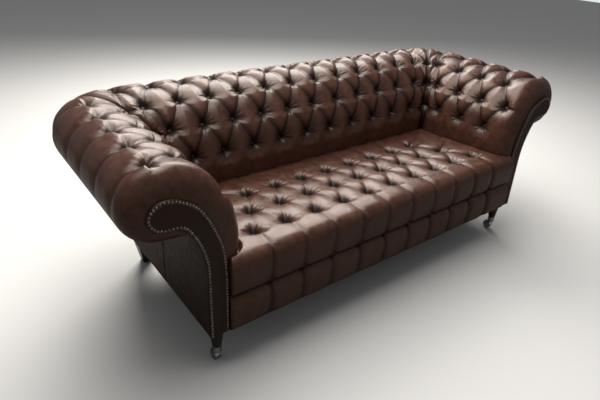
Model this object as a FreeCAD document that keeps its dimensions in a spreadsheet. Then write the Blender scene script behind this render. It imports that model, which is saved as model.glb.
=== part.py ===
import FreeCAD, Part
import Sketcher
import math
import os

# Tufted roll-arm sofa. Millimetres, +X to the right as seen from the front, +Y to
# the rear, +Z up, origin on the floor under the middle of the overall box.

# Sizes, each written once
# Overall
OVERALL_WIDTH = 2026  # across the outsides of both rolls
OVERALL_DEPTH = 848  # front of the seat border to the back of the roll
OVERALL_HEIGHT = 735  # floor to the crest of the rolls
ROLL_RADIUS = 112  # padded radius of the arm and back rolls
CREST_RISE = 2  # crowns of the top row above the roll
BASE_HEIGHT = 148  # floor to the underside of the rails
FRONT_PROJECTION = 22  # seat border stands this far before the facings
# Scroll of the boards, measured from the centre of the roll
SCROLL_REACH = 182  # roll centre to the inner edge of the scroll
SCROLL_BACK = 115.5  # roll centre to the outer edge of the scroll at the foot
# Padding section, measured from the centre of the roll
FOOT_REACH = 242  # roll centre to the deepest part of the padding face
FOOT_HEIGHT = 389  # floor to the foot of the back and arm padding
CORNER_ROUNDNESS = 0.6  # plan radius of a corner as a share of its distance out
DOME_DEPTH = 57  # rounded front end of the arm padding
SOFT_GAP = 0.5  # clearance kept between soft pieces
# Tufting
SEAT_SIDE_MARGIN = 24  # outermost seat pleat to the foot of the arm
BACK_SIDE_MARGIN = 16.5  # outermost back button to the inner corner
CORNER_BUTTON_OFFSET = 3  # last arm button behind the inner corner
FRONT_ROW_SETBACK = 128  # front of the seat to its first button row
ARM_ROW_SETBACK = 110  # front of the seat to the first arm buttons
BACK_ROW_GAP = 117  # last seat button row to the foot of the back
TUFT_DEPTH = 26  # back and arm buttons below the crowns
SEAT_TUFT_DEPTH = 25  # seat buttons below the crowns
PLEAT_DEPTH = 8  # pleats in the seat border and the lower front
BUTTON_RADIUS = 10  # covered button
BUTTON_DOME = 6  # domed top of a covered button
BUTTON_CONE = 15  # tapered back of a covered button
CORNER_RADIUS = 6  # small button deep in a corner
CORNER_CONE = 17  # tapered back of a small button
BUTTON_LIFT = 0.4  # button tip above the bottom of its tuft
TIGHT_LIFT = 1.0  # the same where the cover turns the corner
# Seat
SEAT_HEIGHT = 409  # floor to the front crowns of the seat
SEAT_FALL = 8.5  # drop of the crowns for each button row
SEAM_HEIGHT = 274  # floor to the seam between seat border and lower front
SEAT_UNDER = 350  # floor to the underside of the seat cover
# Frame
RAIL_THICKNESS = 28  # front and rear rails
RAIL_HEIGHT = 122  # seat rails
SIDE_RAIL_THICKNESS = 22  # side rails
BOARD_THICKNESS = 25  # shaped boards
BOARD_INSET = 6.5  # board outline inside the facing outline
ROLL_RAIL_WIDTH = 82  # rail inside each roll
ROLL_RAIL_REACH = 79  # roll centre to the inner edge of that rail
ROLL_RAIL_DROP = 56  # roll centre to its underside
ROLL_RAIL_HEIGHT = 47  # rail inside each roll
FACING_THICKNESS = 8  # nailed arm facing, board and leather
FACING_BOTTOM = 144  # floor to the bottom of the facings
PANEL_THICKNESS = 5.5  # outside panels
ARM_PANEL_INSET = 229  # outside of the rolls to the outside of the outer arm panels
BACK_PANEL_REACH = 66.5  # roll centre to the outside of the outer back panel
BACK_PANEL_DROP = 84  # roll centre to the top of the outer back panel
ARM_PANEL_DROP = 92.5  # roll centre to the top of the outer arm panels
PANEL_NOTCH_DROP = 122  # roll centre to the foot of the notches in the upper rear corners
PANEL_NOTCH_REACH = 55  # inner corner to those notches
BLOCK_SIZE = 66  # corner blocks
BLOCK_HEIGHT = 60  # corner blocks
# Springs, hessian, foam and webbing
SPRING_WIRE = 3.8  # serpentine spring wire
SPRING_WIDTH = 44  # serpentine spring loops
SPRING_PITCH = 25  # run to run along a spring
SPRING_SPACING = 140  # spring to spring
HESSIAN_THICKNESS = 1.5  # hessian over the springs
WEB_WIDTH = 50  # webbing straps
WEB_THICKNESS = 2  # webbing straps
# Nails
NAIL_PITCH = 10.6  # decorative nails, centre to centre
NAIL_RADIUS = 4.7  # head of a decorative nail
NAIL_RISE = 2.8  # height of a nail head
NAIL_INSET = 7  # facing edge to the nail line
SHANK_RADIUS = 0.9  # nail shank
SHANK_LENGTH = 6.5  # nail shank in the facing
# Legs and castors
LEG_INSET = 269  # outside of the rolls to the front leg axis
LEG_SETBACK = 64  # front of the seat to the front leg axis
LEG_TOP_RADIUS = 27  # turned front leg at the frame
LEG_END_RADIUS = 13  # turned front leg inside the castor cup
CUP_HEIGHT = 23  # castor cup
CUP_WALL = 1.8  # castor cup wall
CUP_FLOOR = 5  # castor cup floor
FIT_GAP = 0.05  # radial clearance of turned fits
WHEEL_RADIUS = 19  # castor wheel
WHEEL_WIDTH = 17  # castor wheel
WHEEL_GAP = 1.5  # wheel to fork crown
FORK_PLATE = 4  # fork crown
FORK_CHEEK = 2.5  # fork cheek
FORK_SIDE_GAP = 0.6  # wheel to fork cheek
SWIVEL_GAP = 0.4  # fork crown to cup
CASTOR_TRAIL = 14  # swivel axis to wheel axle
AXLE_RADIUS = 3  # castor axle
STEM_RADIUS = 5  # castor swivel stem
STEM_LENGTH = 28  # castor stem inside the leg
BOLT_RADIUS = 4  # leg bolt
BOLT_LENGTH = 40  # leg bolt above and below the frame
REAR_LEG_TOP = 56  # square rear leg at the frame
REAR_LEG_FOOT = 34  # square rear leg at the floor
REAR_LEG_RAKE = 66  # rear leg runs back this far
REAR_LEG_SPLAY = 33  # rear leg runs inwards this far

V = FreeCAD.Vector
doc = FreeCAD.newDocument("chesterfield_sofa")
sheet = doc.addObject("Spreadsheet::Sheet", "sizes")
sheet_rows = []


def size(alias, content):
    """One driving dimension: its name, then its value or formula under an alias."""
    sheet_rows.append(alias)
    row = len(sheet_rows)
    sheet.set("A%d" % row, alias.replace("_", " "))
    sheet.set("B%d" % row, str(content))
    sheet.setAlias("B%d" % row, alias)


# The same sizes as cells of the sheet, with the pitches that follow from them
size("overall_width", OVERALL_WIDTH)
size("overall_depth", OVERALL_DEPTH)
size("overall_height", OVERALL_HEIGHT)
size("roll_radius", ROLL_RADIUS)
size("crest_rise", CREST_RISE)
size("base_height", BASE_HEIGHT)
size("front_projection", FRONT_PROJECTION)
size("scroll_reach", SCROLL_REACH)
size("scroll_back", SCROLL_BACK)
size("foot_reach", FOOT_REACH)
size("foot_height", FOOT_HEIGHT)
size("corner_roundness", CORNER_ROUNDNESS)
size("dome_depth", DOME_DEPTH)
size("soft_gap", SOFT_GAP)
size("seat_side_margin", SEAT_SIDE_MARGIN)
size("back_side_margin", BACK_SIDE_MARGIN)
size("seat_pitch", "=(overall_width / 2 - roll_radius - foot_reach - seat_side_margin) / 5")
size("back_pitch", "=(overall_width / 2 - roll_radius - foot_reach - back_side_margin) / 5")
size("front_row_setback", FRONT_ROW_SETBACK)
size("arm_row_setback", ARM_ROW_SETBACK)
size("back_row_gap", BACK_ROW_GAP)
size("seat_row_pitch", "=(overall_depth - roll_radius - foot_reach - front_row_setback - back_row_gap) / 2")
size("corner_button_offset", CORNER_BUTTON_OFFSET)
size("arm_pitch", "=(overall_depth - roll_radius - foot_reach + corner_button_offset - arm_row_setback) / 3")
size("tuft_depth", TUFT_DEPTH)
size("seat_tuft_depth", SEAT_TUFT_DEPTH)
size("pleat_depth", PLEAT_DEPTH)
size("button_radius", BUTTON_RADIUS)
size("button_dome", BUTTON_DOME)
size("button_cone", BUTTON_CONE)
size("corner_radius", CORNER_RADIUS)
size("corner_cone", CORNER_CONE)
size("button_lift", BUTTON_LIFT)
size("tight_lift", TIGHT_LIFT)
size("seat_height", SEAT_HEIGHT)
size("seat_fall", SEAT_FALL)
size("seam_height", SEAM_HEIGHT)
size("seat_under", SEAT_UNDER)
size("rail_thickness", RAIL_THICKNESS)
size("rail_height", RAIL_HEIGHT)
size("side_rail_thickness", SIDE_RAIL_THICKNESS)
size("board_thickness", BOARD_THICKNESS)
size("board_inset", BOARD_INSET)
size("roll_rail_width", ROLL_RAIL_WIDTH)
size("roll_rail_reach", ROLL_RAIL_REACH)
size("roll_rail_drop", ROLL_RAIL_DROP)
size("roll_rail_height", ROLL_RAIL_HEIGHT)
size("facing_thickness", FACING_THICKNESS)
size("facing_bottom", FACING_BOTTOM)
size("panel_thickness", PANEL_THICKNESS)
size("arm_panel_inset", ARM_PANEL_INSET)
size("arm_panel_x", "=overall_width / 2 - arm_panel_inset")
size("back_panel_reach", BACK_PANEL_REACH)
size("back_panel_drop", BACK_PANEL_DROP)
size("arm_panel_drop", ARM_PANEL_DROP)
size("panel_notch_drop", PANEL_NOTCH_DROP)
size("panel_notch_reach", PANEL_NOTCH_REACH)
size("block_size", BLOCK_SIZE)
size("block_height", BLOCK_HEIGHT)
size("spring_wire", SPRING_WIRE)
size("spring_width", SPRING_WIDTH)
size("spring_pitch", SPRING_PITCH)
size("spring_spacing", SPRING_SPACING)
size("hessian_thickness", HESSIAN_THICKNESS)
size("web_width", WEB_WIDTH)
size("web_thickness", WEB_THICKNESS)
size("nail_pitch", NAIL_PITCH)
size("nail_radius", NAIL_RADIUS)
size("nail_rise", NAIL_RISE)
size("nail_inset", NAIL_INSET)
size("shank_radius", SHANK_RADIUS)
size("shank_length", SHANK_LENGTH)
size("leg_inset", LEG_INSET)
size("leg_x", "=overall_width / 2 - leg_inset")
size("leg_setback", LEG_SETBACK)
size("leg_top_radius", LEG_TOP_RADIUS)
size("leg_end_radius", LEG_END_RADIUS)
size("cup_height", CUP_HEIGHT)
size("cup_wall", CUP_WALL)
size("cup_floor", CUP_FLOOR)
size("fit_gap", FIT_GAP)
size("wheel_radius", WHEEL_RADIUS)
size("wheel_width", WHEEL_WIDTH)
size("wheel_gap", WHEEL_GAP)
size("fork_plate", FORK_PLATE)
size("fork_cheek", FORK_CHEEK)
size("fork_side_gap", FORK_SIDE_GAP)
size("swivel_gap", SWIVEL_GAP)
size("castor_trail", CASTOR_TRAIL)
size("axle_radius", AXLE_RADIUS)
size("stem_radius", STEM_RADIUS)
size("stem_length", STEM_LENGTH)
size("bolt_radius", BOLT_RADIUS)
size("bolt_length", BOLT_LENGTH)
size("rear_leg_top", REAR_LEG_TOP)
size("rear_leg_foot", REAR_LEG_FOOT)
size("rear_leg_rake", REAR_LEG_RAKE)
size("rear_leg_splay", REAR_LEG_SPLAY)
doc.recompute()


def val(alias):
    """Number held by the cell of that alias."""
    return float(getattr(sheet, alias))


R = val("roll_radius")
FRONT = -val("overall_depth") / 2
ARM_ROLL_X = val("overall_width") / 2 - R
BACK_ROLL_Y = val("overall_depth") / 2 - R
ROLL_Z = val("overall_height") - R - val("crest_rise")
FACING_Y = FRONT + val("front_projection")
BOARD_Y = FACING_Y + val("facing_thickness")
BASE = val("base_height")
GAP = val("soft_gap")
RAIL_TOP = BASE + val("rail_height")
CORNER_X = ARM_ROLL_X - val("foot_reach")
CORNER_Y = BACK_ROLL_Y - val("foot_reach")
FOOT = val("foot_height") - ROLL_Z
nodes = []


def keep(obj, label):
    """Name a finished sub-part and list it for export."""
    obj.Label = label
    nodes.append(obj)
    return obj


def bind(obj, **expressions):
    """Bind properties of an object to the sheet; a double underscore stands for a dot."""
    for prop, expression in expressions.items():
        obj.setExpression(prop.replace("__", "."), expression)
    return obj


def bar(name, sizes, place):
    """A sawn bar: length, width, height and its lowest corner, as sheet expressions."""
    obj = doc.addObject("Part::Box", name)
    bind(obj, Length=sizes[0], Width=sizes[1], Height=sizes[2])
    bind(obj, Placement__Base__x=place[0], Placement__Base__y=place[1], Placement__Base__z=place[2])
    return obj


def rod(name, radius, height, place):
    """An upright cylinder bound to the sheet."""
    obj = doc.addObject("Part::Cylinder", name)
    bind(obj, Radius=radius, Height=height)
    bind(obj, Placement__Base__x=place[0], Placement__Base__y=place[1], Placement__Base__z=place[2])
    return obj


def group(label, members):
    """Several separate solids that are one kind of piece."""
    obj = doc.addObject("Part::Compound", label)
    obj.Links = members
    return keep(obj, label)


def shaped(label, shape):
    """A sub-part whose outline is worked out here from the sheet's sizes."""
    obj = doc.addObject("Part::Feature", label)
    obj.Shape = shape
    obj.Placement = FreeCAD.Placement()
    return keep(obj, label)


def mirrored(shape):
    """The same shape on the other side of the sofa."""
    return shape.mirror(V(0, 0, 0), V(1, 0, 0))


def pair(stem, shape):
    """A right sub-part and its mirror image on the left."""
    shaped("right_" + stem, shape)
    shaped("left_" + stem, mirrored(shape))


def line(start, end):
    return Part.LineSegment(start, end).toShape()


def bow(start, middle, end):
    """Arc through three points, or a line where they are as good as straight."""
    off = (middle - start).cross(end - start).Length / (end - start).Length
    if off < 0.05:
        return line(start, end)
    return Part.Arc(start, middle, end).toShape()


def bows(points):
    """Arcs through a run of points: end, middle, end, middle, end."""
    return [bow(*points[i:i + 3]) for i in range(0, len(points) - 2, 2)]


# Rails, cross rails and glued corner blocks
SIZES = "sizes."
front_y = "(-sizes.overall_depth / 2 + sizes.front_projection + sizes.facing_thickness)"
side_x = "(sizes.arm_panel_x - sizes.panel_thickness - sizes.side_rail_thickness - 1)"
rear_y = ("(sizes.overall_depth / 2 - sizes.roll_radius - sizes.back_panel_reach"
          " - sizes.panel_thickness - sizes.rail_thickness - sizes.soft_gap)")
board_x = "(sizes.overall_width / 2 - sizes.roll_radius - sizes.scroll_reach + sizes.board_inset)"

keep(bar("front_rail", ("2 * " + board_x, SIZES + "rail_thickness", SIZES + "rail_height"),
         ("-" + board_x, front_y, SIZES + "base_height")), "front_rail")
keep(bar("rear_rail", ("2 * " + side_x, SIZES + "rail_thickness", SIZES + "rail_height"),
         ("-" + side_x, rear_y, SIZES + "base_height")), "rear_rail")
side_length = "%s + sizes.rail_thickness - %s - sizes.board_thickness" % (rear_y, front_y)
for side, x_place in (("right", side_x), ("left", "-%s - sizes.side_rail_thickness" % side_x)):
    keep(bar(side + "_side_rail", (SIZES + "side_rail_thickness", side_length, SIZES + "rail_height"),
             (x_place, front_y + " + sizes.board_thickness", SIZES + "base_height")),
         side + "_side_rail")

clear_length = "%s - %s - sizes.rail_thickness" % (rear_y, front_y)
cross_rails = [
    bar("cross_rail_" + name, (SIZES + "rail_thickness", clear_length, "sizes.rail_height * 0.7"),
        ("sizes.overall_width * %s - sizes.rail_thickness / 2" % share,
         front_y + " + sizes.rail_thickness", SIZES + "base_height"))
    for name, share in (("left", "-1 / 8"), ("middle", "0"), ("right", "1 / 8"))]
group("seat_cross_rails", cross_rails)

leg_place = ("sizes.leg_x", "-sizes.overall_depth / 2 + sizes.leg_setback")
corner_blocks = []
leg_bolts = []
for side, sign in (("left", "-"), ("right", "")):
    x_low = "-" + side_x if side == "left" else side_x + " - sizes.block_size"
    for end, y_low in (("front", front_y + " + sizes.rail_thickness"), ("rear", rear_y + " - sizes.block_size")):
        block = bar("%s_%s_block" % (side, end), (SIZES + "block_size", SIZES + "block_size", SIZES + "block_height"),
                    (x_low, y_low, SIZES + "base_height"))
        if end == "front":
            hole = rod(side + "_bolt_hole", "sizes.bolt_radius + sizes.fit_gap", SIZES + "bolt_length",
                       (sign + leg_place[0], leg_place[1], SIZES + "base_height"))
            drilled = doc.addObject("Part::Cut", "%s_drilled_block" % side)
            drilled.Base = block
            drilled.Tool = hole
            block = drilled
            leg_bolts.append(rod(side + "_leg_bolt", SIZES + "bolt_radius", "2 * sizes.bolt_length",
                                 (sign + leg_place[0], leg_place[1], "sizes.base_height - sizes.bolt_length")))
        corner_blocks.append(block)
group("corner_blocks", corner_blocks)
group("leg_bolts", leg_bolts)

# Scroll of the arm, measured from the centre of the roll: out along the arm's
# thickness and up. Arc middles and ends run from the inner edge over the top.
SCROLL_INNER = -val("scroll_reach")
SCROLL_OUTER = -val("scroll_back")
SCROLL_START = (-181, -291)
SCROLL_ARCS = [
    ((-177, -226), (-169, -169)),
    ((-159, -135), (-145.5, -103)),
    ((-129, -65), (-109, -32)),
    ((-85.5, -5), (-58, 13)),
    ((-31, 26), (-2, 31)),
    ((22, 26), (40, 12)),
    ((51, -11), (44.7, -37.5)),
    ((28, -55), (5, -63)),
    ((-20, -63.5), (-40, -67)),
    ((-51, -74), (-60.2, -85.6)),
    ((-72, -104), (-81.5, -122.5)),
    ((-94, -152), (-103.2, -181.5)),
    ((-110, -221), (-112, -259)),
]


def scroll_points(inset):
    """Scroll outline moved inwards: end, middle, end, ... as (out, up) pairs."""
    points = [SCROLL_START]
    for middle, end in SCROLL_ARCS:
        points += [middle, end]
    moved = []
    for index, (out, up) in enumerate(points):
        before = points[max(index - 1, 0)]
        after = points[min(index + 1, len(points) - 1)]
        length = math.hypot(after[0] - before[0], after[1] - before[1])
        normal = ((before[1] - after[1]) / length, (after[0] - before[0]) / length)
        moved.append((out - inset * normal[0], up - inset * normal[1]))
    return moved


def at_arm(y):
    """Places section points in the cross-section of the right arm."""
    return lambda out, up: V(ARM_ROLL_X + out, y, ROLL_Z + up)


def at_back(x):
    """Places section points in the cross-section of the back."""
    return lambda out, up: V(x, BACK_ROLL_Y + out, ROLL_Z + up)


def scroll_face(place, inset, bottom):
    """Scroll outline closed by a straight bottom edge."""
    points = [place(*p) for p in scroll_points(inset)]
    low_inner = place(SCROLL_INNER + inset, bottom - ROLL_Z)
    low_outer = place(SCROLL_OUTER - inset, bottom - ROLL_Z)
    edges = [line(low_inner, points[0])] + bows(points)
    edges += [line(points[-1], low_outer), line(low_outer, low_inner)]
    return Part.Face(Part.Wire(edges))


ALONG_X = V(1, 0, 0)
ALONG_Y = V(0, 1, 0)
THICK = val("board_thickness")
facing = scroll_face(at_arm(FACING_Y), 0, val("facing_bottom")).extrude(ALONG_Y * val("facing_thickness"))
pair("facing", facing)
pair("arm_front_board", scroll_face(at_arm(BOARD_Y), val("board_inset"), BASE).extrude(ALONG_Y * THICK))
rear_board_y = CORNER_Y - 1 - THICK
pair("arm_rear_board", scroll_face(at_arm(rear_board_y), val("board_inset"), RAIL_TOP).extrude(ALONG_Y * THICK))

# Upright boards of the back: the same scroll, cut level under the roll rail
PANEL_BACK = BACK_ROLL_Y - val("back_panel_reach")
PANEL_FRONT = PANEL_BACK - val("panel_thickness")
PANEL_TOP = ROLL_Z - val("back_panel_drop")


def back_board(x):
    board = scroll_face(at_back(x - THICK / 2), val("board_inset"), RAIL_TOP).extrude(ALONG_X * THICK)
    strip = Part.makeBox(THICK, 60, PANEL_TOP - RAIL_TOP, V(x - THICK / 2, PANEL_FRONT - GAP - 60, RAIL_TOP))
    above = Part.makeBox(THICK * 2, 600, 400, V(x - THICK, BACK_ROLL_Y - 400, ROLL_Z - val("roll_rail_drop")))
    behind = Part.makeBox(THICK * 2, 100, PANEL_TOP + GAP - BASE, V(x - THICK, PANEL_FRONT - GAP, BASE))
    return board.fuse(strip).cut(above).cut(behind).removeSplitter()


BACK_BOARDS = [-1.0, -1.0 / 3, 1.0 / 3, 1.0]
shaped("back_boards", Part.makeCompound([back_board(share * (CORNER_X + 6)) for share in BACK_BOARDS]))

# Rails inside the rolls
roll_z = "sizes.overall_height - sizes.roll_radius - sizes.crest_rise - sizes.roll_rail_drop"
for side, x_place in (("right", "sizes.overall_width / 2 - sizes.roll_radius - sizes.roll_rail_reach"),
                      ("left", "-(sizes.overall_width / 2 - sizes.roll_radius - sizes.roll_rail_reach) - sizes.roll_rail_width")):
    arm_rail_length = ("sizes.overall_depth / 2 - sizes.roll_radius - sizes.foot_reach - 1"
                       " - 2 * sizes.board_thickness - %s" % front_y)
    keep(bar(side + "_arm_roll_rail", (SIZES + "roll_rail_width", arm_rail_length, SIZES + "roll_rail_height"),
             (x_place, front_y + " + sizes.board_thickness", roll_z)), side + "_arm_roll_rail")
back_rail_half = "(sizes.overall_width / 2 - sizes.roll_radius - sizes.foot_reach + 100)"
keep(bar("back_roll_rail", ("2 * " + back_rail_half, SIZES + "roll_rail_width", SIZES + "roll_rail_height"),
         ("-" + back_rail_half, "sizes.overall_depth / 2 - sizes.roll_radius - sizes.roll_rail_reach", roll_z)), "back_roll_rail")

# Serpentine seat springs with their clips
WIRE = val("spring_wire") / 2
spring_front = BOARD_Y + val("rail_thickness") / 2
rear_rail_y = PANEL_FRONT - GAP - val("rail_thickness")
spring_rear = rear_rail_y + val("rail_thickness") / 2
runs = 2 * int(round((spring_rear - spring_front) / val("spring_pitch") / 2))
run_pitch = (spring_rear - spring_front) / runs
spring_z = RAIL_TOP + WIRE + 0.1


def spring(x):
    """One wire: straight runs across, joined by half-round bends."""
    reach = val("spring_width") / 2 - run_pitch / 2
    half = run_pitch / 2
    edges = []
    for index in range(runs):
        side = 1 if index % 2 == 0 else -1
        y = spring_front + index * run_pitch
        start = V(x - side * reach, y, spring_z) if index else V(x - reach - half, y, spring_z)
        edges.append(line(start, V(x + side * reach, y, spring_z)))
        edges.append(Part.Arc(V(x + side * reach, y, spring_z), V(x + side * (reach + half), y + half, spring_z),
                              V(x + side * reach, y + run_pitch, spring_z)).toShape())
    edges.append(line(V(x - reach, spring_rear, spring_z), V(x + reach + half, spring_rear, spring_z))
                 if runs % 2 else line(V(x - reach, spring_rear, spring_z), V(x + reach, spring_rear, spring_z)))
    path = Part.Wire(edges)
    ring = Part.Wire([Part.Circle(edges[0].Vertexes[0].Point, ALONG_X, WIRE).toShape()])
    return path.makePipeShell([ring], True, False)


def clip(x, y):
    """A small bridge over the end run of a spring, screwed to the rail."""
    body = Part.makeBox(18, 14, 2 * WIRE + 2.1, V(x - 9, y - 7, RAIL_TOP))
    channel = Part.makeCylinder(WIRE + 0.1, 30, V(x - 15, y, spring_z), ALONG_X)
    slot = Part.makeBox(30, 2 * WIRE + 0.2, WIRE + 0.1, V(x - 15, y - WIRE - 0.1, RAIL_TOP))
    return body.cut(channel.fuse(slot))


SPRINGS = [val("spring_spacing") * index for index in range(-4, 5)]
first_spring = spring(0)
shaped("seat_springs", Part.makeCompound([first_spring.translated(V(x, 0, 0)) for x in SPRINGS]))
shaped("spring_clips", Part.makeCompound([clip(x, y) for x in SPRINGS for y in (spring_front, spring_rear)]))

# Hessian, foam and dust cover
seat_half = "(sizes.overall_width / 2 - sizes.roll_radius - sizes.scroll_reach - sizes.soft_gap)"
seat_back = "(sizes.overall_depth / 2 - sizes.roll_radius - sizes.scroll_reach)"
hessian_z = "(sizes.base_height + sizes.rail_height + sizes.spring_wire + 0.3)"
keep(bar("seat_hessian", ("2 * " + seat_half, "%s - %s - 26" % (seat_back, front_y), SIZES + "hessian_thickness"),
         ("-" + seat_half, front_y + " + 26", hessian_z)), "seat_hessian")
foam_z = "(%s + sizes.hessian_thickness + 0.6)" % hessian_z
keep(bar("seat_foam", ("2 * " + seat_half, "%s - %s - 1.5" % (seat_back, front_y),
                       "sizes.seat_under - sizes.soft_gap - %s" % foam_z),
         ("-" + seat_half, front_y + " + 1.5", foam_z)), "seat_foam")
keep(bar("dust_cover", ("2 * (sizes.leg_x - sizes.leg_top_radius - 6)", "%s + sizes.rail_thickness - %s" % (rear_y, front_y),
                        "1"),
         ("-(sizes.leg_x - sizes.leg_top_radius - 6)", front_y, "sizes.base_height - 1")), "dust_cover")

# Tufted padding section shared by the back and the arms: crown points (out, up)
# from the foot to the top row, with the direction each button is pulled along.
ROWS = [
    ((-235, -110), (-0.995, 0.100)),
    ((-187, -2), (-0.870, 0.493)),
    ((-106, 83), (-0.550, 0.835)),
    ((9, R + 2), (0.040, 0.999)),
]
BETWEEN = [
    ((-240.5, -138), (-1.0, 0.0)),
    ((-219, -54), (-0.930, 0.368)),
    ((-152, 46), (-0.740, 0.673)),
    ((-50, 104), (-0.300, 0.954)),
    ((0.43 * R, 0.905 * R), (0.430, 0.903)),
]
DEPTH = val("tuft_depth")
DIAGONAL = math.sqrt(0.5)


def drawn_in(point, normal, amount):
    return (point[0] - normal[0] * amount, point[1] - normal[1] * amount)


def face_points(pulled):
    """Outer run of one section; pulled tells how far each row is drawn in, 0 to 1."""
    points = [(-238, FOOT), (-241.5, FOOT / 2 - 82.5), (-242, -165)]
    share = [0.0] + list(pulled) + [0.0]
    for index, (middle, normal) in enumerate(BETWEEN):
        points.append(drawn_in(middle, normal, DEPTH * 0.22 * (share[index] + share[index + 1])))
        if index < len(ROWS):
            points.append(drawn_in(*ROWS[index], DEPTH * pulled[index]))
    for degrees in (45, 22.5, 0, -45, -90, -108, -126.1):
        angle = math.radians(degrees)
        points.append((R * math.cos(angle), R * math.sin(angle)))
    return points


scroll_edge = Part.Wire(bows([V(out, up, 0) for out, up in scroll_points(0)]))


def drawn_to_scroll(points, amount):
    """Outer run pulled towards the scroll's edge at the front end of an arm."""
    result = []
    for out, up in points:
        near = scroll_edge.distToShape(Part.Vertex(V(out, up, 0)))[1][0][0]
        target_up = max(near.y, FOOT)
        result.append((out + (near.x - out) * amount, up + (target_up - up) * amount))
    result[0] = (-238 + 60 * amount, FOOT)
    return result


def padding_wire(place, pulled, amount=0.0):
    """Closed section: padded face outside, frame side inside, level foot."""
    outer = face_points(pulled)
    if amount:
        outer = drawn_to_scroll(outer, amount)
    inner = scroll_points(val("board_inset") - 1)
    inner = inner[20:1:-1]
    outer = [place(*p) for p in outer]
    inner = [place(*p) for p in inner]
    foot = place(-171.8, FOOT)
    edges = bows(outer) + [line(outer[-1], inner[0])] + bows(inner)
    edges += [line(inner[-1], foot), line(foot, outer[0])]
    return Part.Wire(edges)


def at_corner(along_x, along_y, shift_x=0.0, shift_y=0.0):
    """Section plane through the inner corner, running outwards in a given direction."""
    def place(out, up):
        away = out + val("foot_reach")
        return V(CORNER_X + away * along_x + shift_x, CORNER_Y + away * along_y + shift_y, ROLL_Z + up)
    return place


ROUND = val("corner_roundness")


def corner_run(degrees):
    """Direction of a section where the corner has turned by an angle from the X axis."""
    angle = math.radians(degrees)
    return (1 - ROUND + ROUND * math.cos(angle), 1 - ROUND + ROUND * math.sin(angle))


def turn_for(share):
    """Angle at which the corner has run sideways by a share of its distance out."""
    return math.degrees(math.asin(min(max((share - 1 + ROUND) / ROUND, 0.0), 0.7)))


CROWNS = (0, 0, 0, 0)
EVEN = (0, 1, 0, 1)
ODD = (1, 0, 1, 0)
MITRE = (1, 1, 1, 0.25)
back_pitch = val("back_pitch")
back_sections = []
for step in range(0, 11):
    back_sections.append((at_back(step * back_pitch / 2), ODD if step % 2 else EVEN))
reach_2 = ROWS[2][0][0] + DEPTH * 0.55 + val("foot_reach")
reach_1 = ROWS[3][0][0] + val("foot_reach")
back_sections.append((at_corner((5.5 * back_pitch - CORNER_X) / reach_2, 1), (0, 0, 1, 0)))
top_turn = 90 - turn_for((6 * back_pitch - CORNER_X) / reach_1)
back_sections.append((at_corner(*corner_run(top_turn)), (0, 0, 0, 1)))
back_sections.append((at_corner(*corner_run(0.55 * top_turn + 20)), (0.1, 0.1, 0.1, 0)))
back_sections.append((at_corner(*corner_run(45), shift_x=-GAP * DIAGONAL), MITRE))


def flip(place):
    """The same section on the left of the sofa."""
    def placed(out, up):
        point = place(out, up)
        return V(-point.x, point.y, point.z)
    return placed


all_back = [(flip(place), pulled) for place, pulled in reversed(back_sections[1:])] + back_sections
shaped("back_cushion", Part.makeLoft([padding_wire(*section) for section in all_back], True, True))

arm_pitch = val("arm_pitch")
first_arm = FRONT + val("arm_row_setback")
dome_start = BOARD_Y + GAP + val("dome_depth")
arm_sections = []
for degrees in (90, 72, 50, 26, 0):
    angle = math.radians(degrees)
    arm_sections.append((at_arm(dome_start - val("dome_depth") * math.sin(angle)), CROWNS, 1 - math.cos(angle)))
for step in range(0, 6):
    arm_sections.append((at_arm(first_arm + step * arm_pitch / 2), ODD if step % 2 else EVEN, 0))
reach_3 = ROWS[1][0][0] + DEPTH * 0.87 + val("foot_reach")
arm_sections.append((at_corner(1, (first_arm + 3 * arm_pitch - CORNER_Y) / reach_3), EVEN, 0))
second_turn = turn_for((first_arm + 3.5 * arm_pitch - CORNER_Y) / reach_2)
arm_sections.append((at_corner(*corner_run(second_turn)), (0, 0, 1, 0), 0))
first_turn = turn_for((first_arm + 4 * arm_pitch - CORNER_Y) / reach_1)
arm_sections.append((at_corner(*corner_run(first_turn)), (0, 0, 0, 1), 0))
arm_sections.append((at_corner(*corner_run(0.55 * first_turn + 21)), (0.1, 0.1, 0.1, 0), 0))
arm_sections.append((at_corner(*corner_run(45), shift_y=-GAP * DIAGONAL), MITRE, 0))
pair("arm_cushion", Part.makeLoft([padding_wire(*section) for section in arm_sections], True, True))

# Covered buttons: a domed top and a tapered back that sits in the tuft
def cap(radius, height, base):
    """Arc of a spherical cap from its rim to its top on the axis."""
    ball = (radius * radius + height * height) / (2 * height)
    half = math.asin(radius / ball) / 2
    middle = V(ball * math.sin(half), 0, base + height - ball + ball * math.cos(half))
    return Part.Arc(V(radius, 0, base), middle, V(0, 0, base + height)).toShape()


def button(place, direction, lift, small=False):
    """One button with its tapered back at a place, pointing along a direction."""
    radius = val("corner_radius") if small else val("button_radius")
    cone = val("corner_cone") if small else val("button_cone")
    dome = val("button_dome") * radius / val("button_radius")
    outline = [line(V(0, 0, 0), V(radius, 0, cone)),
               cap(radius, dome, cone),
               line(V(0, 0, cone + dome), V(0, 0, 0))]
    solid = Part.Face(Part.Wire(outline)).revolve(V(0, 0, 0), V(0, 0, 1), 360)
    solid.Placement = FreeCAD.Placement(place + direction * lift, FreeCAD.Rotation(V(0, 0, 1), direction))
    return solid


def row_button(place, row, turn, lift=val("button_lift"), small=False):
    """Button of a tufting row; turn is the plan angle of the face."""
    dip = drawn_in(*ROWS[row], DEPTH)
    normal = ROWS[row][1]
    angle = math.radians(turn)
    direction = V(normal[0] * math.cos(angle), normal[0] * math.sin(angle), normal[1])
    return button(place(*dip), direction, lift, small)


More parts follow.
